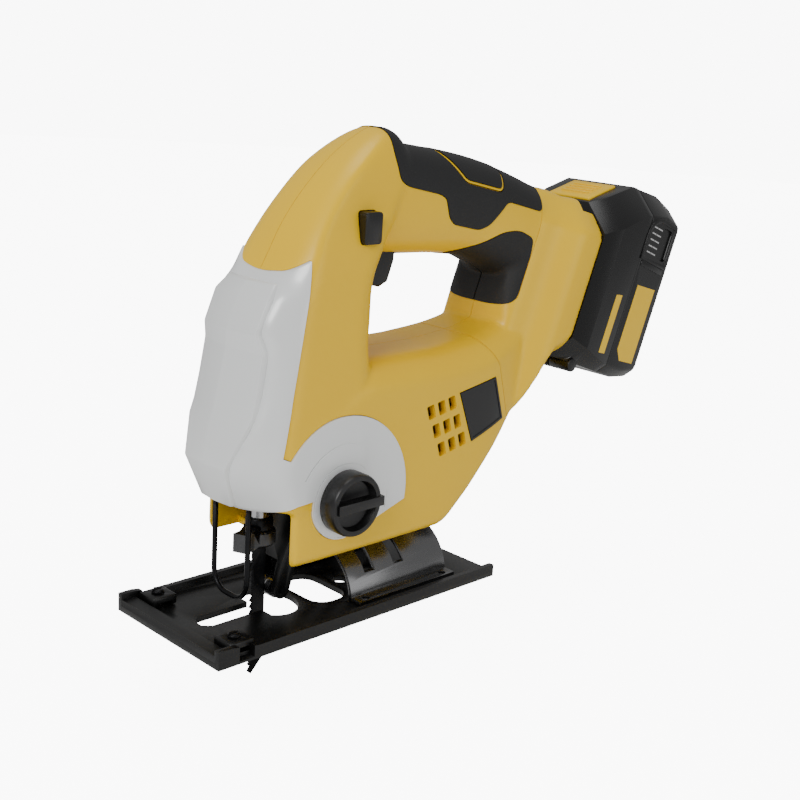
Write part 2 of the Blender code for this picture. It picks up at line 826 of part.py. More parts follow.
def maker_plates():
    for name, low, high in (("plate_left", -60, 0), ("plate_right", 0, 60)):
        node(skin(-0.3, PLATE_DEPTH, [PLATE_REGION], low, high), name, "black_plastic")


def housing_screws():
    for index, (x, z) in enumerate(SCREWS + REAR_SCREWS):
        y = SCREW_HEAD_Y
        profile = [(0, y + 2), (SCREW_HEAD_RADIUS * 0.7, y + 2), (SCREW_HEAD_RADIUS, y + 1), (SCREW_HEAD_RADIUS, y)]
        profile += [(SCREW_RADIUS, y), (SCREW_RADIUS, -y), (0, -y - 1.5)]
        screw = turned(profile, "Y", (x, z), 12)
        cut(screw, rod("Y", y + 1, y + 4, (x, z), 1.0, 6))
        node(screw, "housing_screw_%d" % (index + 1), "black_steel", (x, y, z))


# ---------------------------------------------------------------- drive line

BUSH_LOW = (67.5, 74.6)
BUSH_HIGH = (118.0, 125.5)
GEAR_RADIUS = GEAR_TEETH * GEAR_MODULE / 2
PINION_RADIUS = PINION_TEETH * GEAR_MODULE / 2
BACKLASH = 0.25
MOTOR_Z = GEAR_Z - GEAR_RADIUS - PINION_RADIUS - BACKLASH
PIN_RADIUS = 3.0
BUSH_RADIUS = PLUNGER_RADIUS + 1.6
YOKE_FRONT_X = PLUNGER_X + 3.0
YOKE_REAR_X = 57.5
YOKE_HALF_HEIGHT = 6.5
PLUNGER_LOW = 42.5
PLUNGER_HIGH = 127.5
SELECTOR_RADIUS = 5.0
AXLE_RADIUS = 4.0
SHAFT_RADIUS = 2.0
BEARING_RADIUS = 6.0
KNOB_OUTER_Y = -HALF - COVER_PROUD


def toothed(teeth, radius, phase):
    """A spur gear's outline: straight-flanked teeth round a pitch circle."""
    root, tip = radius - GEAR_MODULE * 1.2, radius + GEAR_MODULE * 0.85
    points = []
    for i in range(teeth):
        for share, reach in ((-0.34, root), (-0.14, tip), (0.14, tip), (0.34, root)):
            turn = 2 * math.pi * (i + phase + share) / teeth
            points.append((reach * math.cos(turn), reach * math.sin(turn)))
    return points


def gear_train():
    low, high = GEAR_FRONT_X, GEAR_FRONT_X + GEAR_WIDTH
    outline = [(y, z + GEAR_Z) for y, z in toothed(GEAR_TEETH, GEAR_RADIUS, 0.75 * GEAR_TEETH % 1)]
    gear = sheet([outline], low, high, FRONT_VIEW)
    counterweight = [(y, z + GEAR_Z) for y, z in arc((0, 0), GEAR_RADIUS - 3, 120, 240, 12) + [(0, -6), (0, 6)]]
    join(gear, sheet([counterweight], high - 1, high + 4, FRONT_VIEW))
    cut(gear, rod("X", low - 5, high + 9, (0, GEAR_Z), AXLE_RADIUS + 0.1, 16))
    node(gear, "drive_gear", "bare_steel", (low, 0, GEAR_Z))
    pin = rod("X", YOKE_REAR_X + 0.5, low - 0.05, (0, GEAR_Z - STROKE / 2), PIN_RADIUS, 14)
    node(pin, "eccentric_pin", "bright_steel", (low, 0, GEAR_Z))
    axle = rod("X", low + 0.5, high + 7.5, (0, GEAR_Z), AXLE_RADIUS, 16)
    node(axle, "gear_axle", "bright_steel")
    phase = 0.25 * PINION_TEETH - 0.5
    outline = [(y, z + MOTOR_Z) for y, z in toothed(PINION_TEETH, PINION_RADIUS, phase)]
    pinion = sheet([outline], low - 0.5, high + 1, FRONT_VIEW)
    cut(pinion, rod("X", low - 5, high + 5, (0, MOTOR_Z), SHAFT_RADIUS + GAP / 2, 12))
    node(pinion, "pinion", "bright_steel", (low, 0, MOTOR_Z))


def gear_frame():
    """The plate behind the gear that holds the gear axle, with an arm to each plunger bush."""
    x0 = GEAR_FRONT_X + GEAR_WIDTH + 5
    x1 = x0 + 3
    plate = sheet([rounded_box((-20, MOTOR_Z - 12), (20, GEAR_Z + 25), 6)], x0, x1, FRONT_VIEW)
    join(plate, block((PLUNGER_X - 8.5, -16, BUSH_LOW[0]), (x0 + 1, 16, BUSH_LOW[1])))
    join(plate, block((PLUNGER_X - 8.5, -9, BUSH_HIGH[0]), (x0 + 1, 9, BUSH_HIGH[1])))
    for low, high in (BUSH_LOW, BUSH_HIGH):
        cut(plate, rod("Z", low - 1, high + 1, (PLUNGER_X, 0), BUSH_RADIUS + 0.05, 20))
    window = PINION_RADIUS + GEAR_MODULE + 1.2
    cut(plate, block((58, -window, MOTOR_Z - window), (x1 + 2, window, MOTOR_Z + window)))
    cut(plate, rod("X", x0 - 2, x1 + 2, (0, GEAR_Z), AXLE_RADIUS + 0.1, 16))
    node(plate, "gear_frame", "bare_steel")


def bushes():
    for name, (low, high) in (("plunger_bush_lower", BUSH_LOW), ("plunger_bush_upper", BUSH_HIGH)):
        bush = rod("Z", low, high, (PLUNGER_X, 0), BUSH_RADIUS, 20)
        cut(bush, rod("Z", low - 1, high + 1, (PLUNGER_X, 0), PLUNGER_RADIUS + 0.12, 20))
        node(bush, name, "copper")


def plunger():
    body = rod("Z", PLUNGER_LOW, PLUNGER_HIGH, (PLUNGER_X, 0), PLUNGER_RADIUS, 20)
    node(body, "plunger", "bright_steel", (PLUNGER_X, 0, PLUNGER_LOW))
    half = STROKE / 2 + PIN_RADIUS + 3
    middle = GEAR_Z - STROKE / 2
    slot = rounded_box((-half + 2.5, middle - PIN_RADIUS - GAP), (half - 2.5, middle + PIN_RADIUS + GAP), 3.2)
    outline = rounded_box((-half, middle - YOKE_HALF_HEIGHT), (half, middle + YOKE_HALF_HEIGHT), 3)
    yoke = sheet([outline, slot], YOKE_FRONT_X, YOKE_REAR_X, FRONT_VIEW)
    cut(yoke, rod("Z", 60, 120, (PLUNGER_X, 0), PLUNGER_RADIUS + GAP, 20))
    node(yoke, "plunger_yoke", "bare_steel", (PLUNGER_X, 0, PLUNGER_LOW))


def motor():
    back = MOTOR_FRONT_X + MOTOR_LENGTH
    r = MOTOR_RADIUS
    centre = (0, MOTOR_Z)
    can = rod("X", MOTOR_FRONT_X, back, centre, r, 28)
    cut(can, rod("X", MOTOR_FRONT_X + 2.5, back - 3, centre, r - 2, 28))
    cut(can, rod("X", MOTOR_FRONT_X - 5, back - 9, centre, BEARING_RADIUS + 0.2, 18))
    cut(can, rod("X", back - 9, back + 5, centre, BEARING_RADIUS + 0.2, 18))
    node(can, "motor_can", "bare_steel")
    shaft = rod("X", GEAR_FRONT_X - 1, back + 4, centre, SHAFT_RADIUS, 12)
    node(shaft, "motor_shaft", "bright_steel", (back, *centre))
    rotor = rod("X", MOTOR_FRONT_X + 10, back - 22, centre, r - 5, 24)
    join(rotor, rod("X", back - 23, back - 14, centre, 7, 18))
    cut(rotor, rod("X", MOTOR_FRONT_X, back, centre, SHAFT_RADIUS + GAP / 2, 12))
    node(rotor, "rotor", "copper", (back, *centre))
    fan_back = back - 5.0
    fan = rod("X", fan_back - 7, fan_back - 5.5, centre, r - 3.2, 20)
    join(fan, rod("X", fan_back - 7, fan_back, centre, 5, 14))
    for i in range(7):
        blade = block((fan_back - 6, 4, -0.6), (fan_back, r - 3.6, 0.6))
        spin = Matrix.Translation((0, 0, MOTOR_Z * MM)) @ Matrix.Rotation(i * 2 * math.pi / 7, 4, "X")
        join(fan, placed(blade, spin))
    cut(fan, rod("X", fan_back - 9, fan_back + 2, centre, SHAFT_RADIUS + GAP / 2, 12))
    node(fan, "cooling_fan", "black_plastic", (back, *centre))
    for name, low in (("motor_bearing_front", MOTOR_FRONT_X - 1.5), ("motor_bearing_rear", back - 2.0)):
        ring = rod("X", low, low + 4, centre, BEARING_RADIUS, 18)
        cut(ring, rod("X", low - 1, low + 5, centre, SHAFT_RADIUS + 0.12, 12))
        node(ring, name, "bright_steel")


def selector():
    """Orbital knob, outside the cover, and its cam shaft inside."""
    y = KNOB_OUTER_Y - GAP
    r = KNOB_RADIUS
    outer = [(0, y - 4.5), (r * 0.74, y - 4.5), (r * 0.8, y - 8.5), (r * 0.96, y - 8.5), (r, y - 7), (r, y)]
    knob = turned([(a, -b) for a, b in [(0, y)] + [(r, y)] + list(reversed(outer))[1:]], "Y", KNOB_CENTRE, 40)
    knob.data.transform(Matrix.Diagonal((1, -1, 1, 1)))
    tidy(knob.data)
    grip = block((KNOB_X - r * 0.78, y - 9.5, KNOB_Z - 2.2), (KNOB_X + r + 0.8, y - 3, KNOB_Z + 2.2))
    join(knob, grip)
    join(knob, rod("Y", y - 1, -23, KNOB_CENTRE, SELECTOR_RADIUS, 24))
    cam = rod("Y", -24, -14, (KNOB_X - 1.5, KNOB_Z), 3.0, 20)
    join(knob, cam)
    node(knob, "orbital_knob", "black_plastic", (KNOB_X, y, KNOB_Z))


# ---------------------------------------------------------------- blade end

BLADE_FRONT_X = PLUNGER_X - BLADE_WIDTH / 2
BLADE_BACK_X = PLUNGER_X + BLADE_WIDTH / 2


def saw_blade():
    top = PLUNGER_LOW - 0.6
    shank = 3.0
    back = [(BLADE_BACK_X, CLAMP_RING_Z - 4), (BLADE_BACK_X, BLADE_TIP_Z + 7), (BLADE_FRONT_X + 1.5, BLADE_TIP_Z)]
    teeth = []
    z = BLADE_TIP_Z + 1.5
    while z < CLAMP_RING_Z - 10:
        teeth += [(BLADE_FRONT_X, z), (BLADE_FRONT_X + TOOTH_DEPTH, z + TOOTH_PITCH * 0.75)]
        z += TOOTH_PITCH
    front = [(BLADE_FRONT_X + TOOTH_DEPTH * 0.5, CLAMP_RING_Z - 7), (BLADE_FRONT_X + 1, CLAMP_RING_Z - 2)]
    shank_top = [(PLUNGER_X - shank, CLAMP_RING_Z), (PLUNGER_X - shank, top), (PLUNGER_X + shank, top)]
    outline = back + teeth + front + shank_top + [(PLUNGER_X + shank, CLAMP_RING_Z)]
    blade = sheet([outline], -BLADE_THICKNESS / 2, BLADE_THICKNESS / 2, SIDE_VIEW)
    node(blade, "saw_blade", "black_steel", (PLUNGER_X, 0, PLUNGER_LOW))


def blade_clamp():
    r = CLAMP_RADIUS
    z0, z1 = CLAMP_RING_Z, CLAMP_RING_Z + CLAMP_RING_HEIGHT
    profile = [(0, z1 + 6), (r - 0.4, z1 + 6), (r, z1 + 5), (r, z1 + GAP), (r - 1.6, z1 + GAP)]
    profile += [(r - 1.6, z0 - 1.5), (0, z0 - 1.5)]
    body = turned(profile, "Z", (PLUNGER_X, 0), 20)
    cut(body, rod("Z", PLUNGER_LOW - GAP, PLUNGER_LOW + 30, (PLUNGER_X, 0), PLUNGER_RADIUS + 0.15, 20))
    half = BLADE_THICKNESS / 2 + GAP
    cut(body, block((PLUNGER_X - 3.4, -half, z0 - 5), (PLUNGER_X + 3.4, half, PLUNGER_LOW)))
    node(body, "blade_clamp", "black_steel", (PLUNGER_X, 0, PLUNGER_LOW))
    ribs = 20
    outer = r + 0.9
    loop = []
    for i in range(ribs):
        for share, reach in ((0, outer - 0.5), (0.5, outer)):
            turn = 2 * math.pi * (i + share) / ribs
            loop.append((PLUNGER_X + reach * math.cos(turn), reach * math.sin(turn)))
    ring = sheet([loop], z0, z1, PLAN_VIEW)
    lever = [(-3, -4.0), (-13, -5.2), (-17.5, -4.4), (-18, 2.2), (-14, 1.6), (-9, 2.8), (-3, 6.0)]
    paddle = sheet([lever], z0 + 0.8, z1 + 2.5, PLAN_VIEW)
    turn = Matrix.Translation((PLUNGER_X * MM, 0, 0)) @ Matrix.Rotation(math.radians(LEVER_ANGLE), 4, "Z")
    placed(paddle, turn)
    join(ring, paddle)
    cut(ring, rod("Z", z0 - 3, z1 + 6, (PLUNGER_X, 0), r - 1.6 + GAP, 20))
    cut(ring, rod("Z", z1 + 0.1, z1 + 8, (PLUNGER_X, 0), r + 0.4, 20))
    node(ring, "clamp_ring", "black_steel", (PLUNGER_X, 0, z0))


ROLLER_X = BLADE_BACK_X + GAP + ROLLER_RADIUS - 0.8
FORK_PIVOT = (ROLLER_X + 8.0, 50.0)


def roller_set():
    """The fork behind the blade, its roller with a groove for the blade's back, and the pin."""
    x, z = ROLLER_X, ROLLER_Z
    cheek = arc((x, z), 4.4, 180, 330, 6) + [(x + 8, z + 12), (x + 12, z + 30), (x + 12, z + 42)]
    cheek += [(x + 5, z + 42), (x + 4, z + 26), (x - 1.5, z + 12)]
    fork = sheet([cheek], -8.0, 8.0, SIDE_VIEW)
    cut(fork, rod("Y", -4.8, 4.8, (x, z), ROLLER_RADIUS + 0.8, 24))
    cut(fork, block((x - 9, -4.8, z - 9), (x + 3.5, 4.8, z + 14)))
    cut(fork, rod("Y", -12, 12, (x, z), 1.6 + 0.1, 16))
    cut(fork, rod("Y", -12, 12, FORK_PIVOT, 1.8, 16))
    node(fork, "roller_fork", "black_steel", (FORK_PIVOT[0], 0, FORK_PIVOT[1]))
    groove = [(0, 4.3), (ROLLER_RADIUS, 4.3), (ROLLER_RADIUS, 1.2), (ROLLER_RADIUS - 0.9, 0.9)]
    groove += [(ROLLER_RADIUS - 0.9, -0.9), (ROLLER_RADIUS, -1.2), (ROLLER_RADIUS, -4.3), (0, -4.3)]
    roller = turned(groove, "Y", (x, z), 28)
    cut(roller, rod("Y", -9, 9, (x, z), 1.6 + 0.08, 16))
    node(roller, "guide_roller", "bright_steel", (x, 0, z))
    pin = [(0, 9.2), (2.6, 9.2), (3.0, 8.6), (3.0, 8.0 + GAP / 3), (1.6, 8.0 + GAP / 3), (1.6, -8.8), (0, -8.8)]
    node(turned(pin, "Y", (x, z), 20), "roller_pin", "black_steel", (x, 0, z))
    hinge = rod("Y", -12, 12, FORK_PIVOT, 1.7, 16)
    node(hinge, "fork_pivot_pin", "bright_steel")


def guard_sockets():
    """Two lugs behind the cover that the guard's ends are pressed into."""
    lugs = None
    for side in (-1, 1):
        a, b = sorted((side * (MOUTH_HALF + 0.01), side * (GUARD_HALF + 4)))
        lug = block((GUARD_X - 3.5, a, COVER_BOTTOM), (GUARD_X + 4, b, GUARD_TOP + 2))
        lugs = lug if lugs is None else join(lugs, lug)
    return lugs


def chip_guard():
    low, bend = 12.5, 9.0
    path = [(GUARD_X, GUARD_HALF, GUARD_TOP)]
    for side, start in ((1, 0), (-1, -90)):
        turn = arc((side * (GUARD_HALF - bend), low + bend), bend, start, start - 90, 6)
        path += [(GUARD_X, y, z) for y, z in turn]
    path += [(GUARD_X, -GUARD_HALF, GUARD_TOP)]
    node(wire(path, GUARD_RADIUS), "chip_guard", "black_steel")


# ---------------------------------------------------------------- shoe

BEVEL_SCREW_X = [101.0, 120.0]
BEVEL_SCREW_RADIUS = 2.0
WELL_MOUTH = -0.62
GUIDE_X = 15.0
GUIDE_Y = 28.5
GUIDE_SIZE = (13.0, 12.0, 5.0)


def shoe():
    half = SHOE_WIDTH / 2
    outline = [(2, -half), (SHOE_LENGTH, -half), (SHOE_LENGTH, half), (2, half), (0, half - 2), (0, 2 - half)]
    slot = SLOT_WIDTH / 2
    well_x = BLADE_BACK_X + 3
    well = BLADE_WELL / 2
    start = math.degrees(math.acos(WELL_MOUTH))
    blade_hole = [(17, -slot + 3), (17, slot - 3), (21, slot), (well_x - 8, slot)]
    blade_hole += [(well_x + px * 0.8, py) for px, py in arc((0, 0), well, start, -start, 20)]
    blade_hole += [(well_x - 8, -slot), (21, -slot)]
    window = rounded_box((73, -17), (93, 17), 8)
    key_holes = [arc((x, 0), 4, 0, 340, 17) for x in BEVEL_SCREW_X]
    body = sheet([outline, blade_hole, window] + key_holes, 0, SHOE_FLOOR, PLAN_VIEW)
    for side in (-1, 1):
        a, b = sorted((side * half, side * (half - SHOE_RIM_WIDTH)))
        join(body, block((SHOE_FRONT_DEPTH, a, 0), (SHOE_LENGTH - 0.01, b, SHOE_RIM)))
        wedge = [(0.01, 0.01), (0.01, SHOE_FRONT_BAR), (SHOE_FRONT_DEPTH, SHOE_FRONT_BAR)]
        wedge += [(SHOE_FRONT_DEPTH + 14, SHOE_RIM), (SHOE_FRONT_DEPTH + 14, 0.01)]
        join(body, sheet([wedge], a + 0.02, b - 0.02, SIDE_VIEW))
    bar = block((0.02, 2 - half, 0.02), (SHOE_FRONT_DEPTH, half - 2, SHOE_RIM))
    join(body, bar)
    for side in (-1, 1):
        notch = block((GUIDE_X - 4, side * half - 4, 1.2), (GUIDE_X + 4, side * half + 4, SHOE_RIM + 4))
        cut(body, notch)
    for x in (BEVEL_FRONT_X + 6, BEVEL_REAR_X - 6):
        for side in (-1, 1):
            cut(body, rod("Z", -1, 5, (x, side * BRACKET_FOOT_Y), 1.9, 16))
    node(body, "shoe", "black_steel", (SOLE_REFERENCE_X, 0, BEVEL_AXIS_Z))


BRACKET_FOOT_Y = BEVEL_RADIUS + 3.4


def bevel_bracket():
    low, high = BEVEL_FRONT_X, BEVEL_REAR_X
    base = SHOE_FLOOR + GAP
    tube = rod("X", low, high, (0, BEVEL_AXIS_Z), BEVEL_RADIUS, 48)
    cut(tube, rod("X", low - 1, high + 1, (0, BEVEL_AXIS_Z), BEVEL_RADIUS - BEVEL_SHEET, 48))
    cut(tube, block((low - 5, -60, -60), (high + 5, 60, base)))
    for side in (-1, 1):
        a, b = sorted((side * (BEVEL_RADIUS - 1.6), side * (BRACKET_FOOT_Y + 3)))
        join(tube, block((low + 0.01, a, base), (high - 0.01, b, base + BEVEL_SHEET)))
    for x in BEVEL_SCREW_X:
        w = BEVEL_SCREW_RADIUS + 1.4
        slot = rod("X", x - w, x + w, (0, BEVEL_AXIS_Z), BEVEL_RADIUS + 4, 48)
        cut(slot, rod("X", x - w - 1, x + w + 1, (0, BEVEL_AXIS_Z), BEVEL_RADIUS - 6, 48))
        cut(slot, block((x - 9, -60, -60), (x + 9, 60, BEVEL_AXIS_Z + BEVEL_RADIUS * 0.5)))
        cut(tube, slot)
    for x in (low + 6, high - 6):
        for side in (-1, 1):
            cut(tube, rod("Z", base - 1, base + 5, (x, side * BRACKET_FOOT_Y), 1.9, 16))
    node(tube, "bevel_bracket", "bare_steel", (SOLE_REFERENCE_X, 0, BEVEL_AXIS_Z))


def bevel_screws():
    inner = BEVEL_AXIS_Z + BEVEL_RADIUS - BEVEL_SHEET
    for index, x in enumerate(BEVEL_SCREW_X):
        r = BEVEL_SCREW_RADIUS
        profile = [(0, 44), (r, 43.5), (r, inner - GAP), (4.6, inner - 2.2), (4.6, inner - 6), (0, inner - 6)]
        screw = turned(profile, "Z", (x, 0), 16)
        cut(screw, rod("Z", inner - 9, inner - 3.5, (x, 0), 2.2, 6))
        node(screw, "bevel_screw_%d" % (index + 1), "bright_steel", (x, 0, inner))


def guide_clamps():
    """The two pressed clamps that hold a parallel guide's bar, each with its screw."""
    w, d, h = GUIDE_SIZE
    base = SHOE_FLOOR + GAP
    for name, side in (("left", -1), ("right", 1)):
        y = side * GUIDE_Y
        body = rounded(block((GUIDE_X - w / 2, y - d / 2, base), (GUIDE_X + w / 2, y + d / 2, base + h)), 1.0, 2)
        cut(body, block((GUIDE_X - w / 2 + 2.5, y - d, base - 1), (GUIDE_X + w / 2 - 2.5, y + d, base + 2.2)))
        cut(body, rod("Z", base, base + 9, (GUIDE_X, y), 1.8, 16))
        node(body, "guide_clamp_" + name, "black_steel", (GUIDE_X, y, base))
        top = base + h
        profile = [(0, top + 1.8), (2.2, top + 1.8), (3.0, top + 1.2), (3.0, top + 0.2), (1.5, top + 0.2)]
        screw = turned(profile + [(1.5, base + 0.5), (0, base + 0.5)], "Z", (GUIDE_X, y), 16)
        cut(screw, block((GUIDE_X - 4, y - 0.45, top + 0.9), (GUIDE_X + 4, y + 0.45, top + 3)))
        node(screw, "guide_screw_" + name, "black_steel", (GUIDE_X, y, base))


# ---------------------------------------------------------------- controls and electrics


def trigger():
    body = sheet([TRIGGER], -TRIGGER_WIDTH / 2, TRIGGER_WIDTH / 2, SIDE_VIEW)
    rounded(body, 1.6, 3, 50)
    node(body, "trigger", "grey_plastic", (109, 0, 160))


def lock_button():
    """A bar across the body that is pushed from side to side, with a pad at each end."""
    x, z = LOCK_CENTRE
    w, h = LOCK_SIZE[0] / 2, LOCK_SIZE[1] / 2
    outline = rounded_box((x - w, z - h), (x + w, z + h), 1.6)
    reach = 26.0
    bar = rounded(sheet([outline], -reach, reach, SIDE_VIEW), 0.8, 2, 50)
    for side in (-1, 1):
        a, b = sorted((side * 2.0, side * 17.0))
        cut(bar, block((x - 9, a, z - 9), (x - 2.5, b, z + 9)))
        cut(bar, block((x - 9, a, z + 3), (x + 9, b, z + 9)))
    node(bar, "lock_button", "grey_plastic", (x, 0, z))


def electrics():
    body = rounded(block((101, -7.5, 180.5), (128, 7.5, 199)), 0.8, 1)
    node(body, "trigger_switch", "black_plastic")
    board = block((146, -19, 98), (178, 19, 100))
    join(board, block((150, -12, 99.5), (160, 2, 104)), rod("Z", 99.5, 107, (168, 8), 4, 16))
    node(board, "control_board", "board_green")
    block_body = pack_block((RAIL_FRONT - 1, BATTERY_FACE - 3), (RAIL_LOW - 14, RAIL_LOW - 1), (-17, 17))
    for y in (-11, 0, 11):
        spring = pack_block((CONTACT_BACK - 1.5, CONTACT_BACK + 1.5), (RAIL_LOW - 2, RAIL_LOW + 13), (y - 0.5, y + 0.5))
        join(block_body, spring)
    node(block_body, "terminal_block", "black_plastic")


# ---------------------------------------------------------------- battery

RAIL_FRONT = 161.0
RAIL_LOW = 193.0
RAIL_HIGH = 248.0
CONTACT_BACK = 166.0
PACK_FRONT = BATTERY_FACE + GAP + 0.2
PACK_BACK = PACK_FRONT + BATTERY_DEPTH
PACK_SPLIT = PACK_FRONT + BATTERY_DEPTH * 0.5
PACK_WALL = 2.4
BUTTON_HALF = 14.0
SLOPE_FOOT = (PACK_FRONT, 256.5)
SLOPE_HEAD = (PACK_FRONT + 25.0, BATTERY_HIGH)

# Battery: back, lowest along, highest along, share of the half width, upper chamfer, lower chamfer
PACK = [
    (0.0, 0.0, -17.5, 0.86, 15, 12),
    (0.14, 0.0, -11.5, 1.0, 15, 9),
    (0.44, 0.0, 0.0, 1.0, 14, 5),
    (0.75, 0.0, 1.0, 1.0, 11, 5),
    (0.96, 3.0, -2.5, 1.0, 9, 5),
    (1.0, 6.0, -6.0, 0.96, 8, 5),
]


def pack_ring(row, inset):
    share_back, lift, drop, share, upper, lower = row
    back = PACK_FRONT + BATTERY_DEPTH * share_back
    low, high = BATTERY_LOW + lift + inset, BATTERY_HIGH + drop - inset
    side = BATTERY_WIDTH / 2 * share - inset
    half = [(side - lower, low), (side, low + lower), (side, high - upper), (side - upper * 1.1, high)]
    ring = half + [(-y, a) for y, a in reversed(half)]
    return [tuple(BACK * back + ALONG * a + Vector((0, y, 0))) for y, a in ring]


def pack_solid(inset):
    rings = [pack_ring(row, inset) for row in PACK]
    rings[0] = [tuple(Vector(p) + BACK * inset) for p in rings[0]]
    rings[-1] = [tuple(Vector(p) - BACK * inset) for p in rings[-1]]
    return loft(rings)


def slope_frame():
    """A frame on the pack's sloping top: up the slope, across, and out of the face."""
    up = BACK * (SLOPE_HEAD[0] - SLOPE_FOOT[0]) + ALONG * (SLOPE_HEAD[1] - SLOPE_FOOT[1])
    up.normalize()
    out = Vector((0, 1, 0)).cross(up)
    if out.z < 0:
        out = -out
    place = BACK * SLOPE_FOOT[0] + ALONG * SLOPE_FOOT[1]
    return frame_matrix(up, Vector(out).cross(up), out, place), out


def battery():
    shell = pack_solid(0)
    cut(shell, pack_solid(PACK_WALL))
    slope, out = slope_frame()
    pocket = block((2.5, -BUTTON_HALF - 0.3, -5), (26.3, BUTTON_HALF + 0.3, 6))
    cut(shell, placed(pocket, slope))
    rail = pack_block((RAIL_FRONT, PACK_FRONT + 1), (RAIL_LOW, RAIL_HIGH), (-RAIL_WIDTH / 2 + 3, RAIL_WIDTH / 2 - 3))
    wide = pack_block((RAIL_FRONT + 0.01, RAIL_FRONT + 5), (RAIL_LOW + 0.01, RAIL_HIGH - 0.01), (-RAIL_WIDTH / 2, RAIL_WIDTH / 2))
    join(shell, join(rail, wide))
    cut(shell, pack_block((CONTACT_BACK - 2.2, CONTACT_BACK + 2.2), (RAIL_LOW - 5, RAIL_LOW + 16), (-15, 15)))
    rear = copy(shell)
    cut(shell, pack_block((PACK_SPLIT - GAP / 2, 400), (100, 400), (-90, 90)))
    cut(rear, pack_block((100, PACK_SPLIT + GAP / 2), (100, 400), (-90, 90)))
    node(shell, "battery_front_shell", "black_plastic", tuple(BACK * PACK_FRONT + ALONG * 220))
    node(rear, "battery_rear_shell", "black_plastic", tuple(BACK * PACK_FRONT + ALONG * 220))
    button = rounded(block((2.9, -BUTTON_HALF, -3.5), (25.9, BUTTON_HALF, 1.2)), 0.8, 2)
    for i in range(4):
        x = 8 + i * 3.6
        join(button, block((x, -BUTTON_HALF + 5, 0.5), (x + 1.6, BUTTON_HALF - 5, 2.2)))
    place = BACK * SLOPE_FOOT[0] + ALONG * SLOPE_FOOT[1]
    node(placed(button, slope), "battery_release", "yellow_abs", tuple(place))
    for name, row_back in (("cells_front_row", PACK_FRONT + 23.2), ("cells_rear_row", PACK_FRONT + 42.2)):
        cells = None
        for i in range(CELLS_IN_ROW):
            along = BATTERY_LOW + PACK_WALL + CELL_RADIUS + CELL_LIFT + i * CELL_PITCH
            at = BACK * row_back + ALONG * along
            cell = rod("Y", -CELL_LENGTH / 2, CELL_LENGTH / 2, (at.x, at.z), CELL_RADIUS, 16)
            cells = cell if cells is None else join(cells, cell)
        first = BATTERY_LOW + PACK_WALL + CELL_RADIUS + CELL_LIFT
        last = first + (CELLS_IN_ROW - 1) * CELL_PITCH
        for side in (-1, 1):
            a, b = sorted((side * (CELL_LENGTH / 2 - 0.6), side * (CELL_LENGTH / 2 + 0.3)))
            join(cells, pack_block((row_back - 3, row_back + 3), (first, last), (a, b)))
        node(cells, name, "cell_blue", tuple(BACK * PACK_FRONT + ALONG * 220))


def main():
    housing_screws()
    motor()
    gear_train()
    gear_frame()
    bushes()
    plunger()
    selector()
    saw_blade()
    blade_clamp()
    roller_set()
    chip_guard()
    shoe()
    bevel_bracket()
    bevel_screws()
    guide_clamps()
    trigger()
    lock_button()
    electrics()
    battery()
    maker_plates()
    nose_cover()
    soft_grips()
    rear_shells()
    case_halves()
    bpy.context.view_layer.update()


clear_scene()
PARTS = new_collection("cordless_jigsaw")
WORK = new_collection("cutters")
WORK.hide_render = True
FRAME = bpy.data.objects.new("jigsaw_frame", None)
PARTS.objects.link(FRAME)
FRAME.location = (-SOLE_REFERENCE_X * MM, 0, 0)
main()
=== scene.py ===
"""The jigsaw's finished surfaces: moulded shells, rubber grips, lacquered nose cover,
coated shoe and battery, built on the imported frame. Lengths are in millimetres, measured
from the shoe's front edge, the tool's middle plane and the sole."""

import math

import bmesh
import bpy
from mathutils import Matrix, Vector


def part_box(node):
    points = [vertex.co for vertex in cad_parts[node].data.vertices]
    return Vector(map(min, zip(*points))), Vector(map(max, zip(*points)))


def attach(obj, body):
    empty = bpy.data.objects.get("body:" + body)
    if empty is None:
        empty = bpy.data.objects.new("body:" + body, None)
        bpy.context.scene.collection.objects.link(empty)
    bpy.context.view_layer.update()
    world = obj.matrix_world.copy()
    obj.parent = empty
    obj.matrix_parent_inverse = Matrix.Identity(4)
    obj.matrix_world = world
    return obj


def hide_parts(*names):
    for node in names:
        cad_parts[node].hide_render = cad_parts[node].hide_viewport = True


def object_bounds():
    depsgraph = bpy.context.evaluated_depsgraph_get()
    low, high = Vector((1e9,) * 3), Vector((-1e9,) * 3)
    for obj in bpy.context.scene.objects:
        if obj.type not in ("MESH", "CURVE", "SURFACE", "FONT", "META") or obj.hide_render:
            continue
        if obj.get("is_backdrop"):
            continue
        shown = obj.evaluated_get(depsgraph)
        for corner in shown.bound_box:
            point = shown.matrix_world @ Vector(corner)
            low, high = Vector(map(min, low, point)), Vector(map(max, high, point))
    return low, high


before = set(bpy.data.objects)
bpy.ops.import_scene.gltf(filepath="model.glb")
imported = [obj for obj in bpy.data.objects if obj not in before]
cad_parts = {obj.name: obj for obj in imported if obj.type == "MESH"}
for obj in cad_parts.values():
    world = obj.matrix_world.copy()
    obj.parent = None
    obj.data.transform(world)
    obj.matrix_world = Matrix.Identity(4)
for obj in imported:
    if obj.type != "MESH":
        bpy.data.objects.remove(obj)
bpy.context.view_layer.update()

MM = 0.001
FRONT_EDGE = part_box("shoe")[0].x / MM
SEAM = 0.3

# ---------------------------------------------------------------- the body's form

HALF = 32.5
VOXEL = 1.15
SMOOTH_PASSES = 5
WIDE = 60
BAR_SIDES = 48
PLUNGER_X = 49.5
KNOB_BORE = 5.6
GRIP_PROUD = 0.35
SKIN_DEPTH = 1.5
POCKET_DEPTH = 1.6

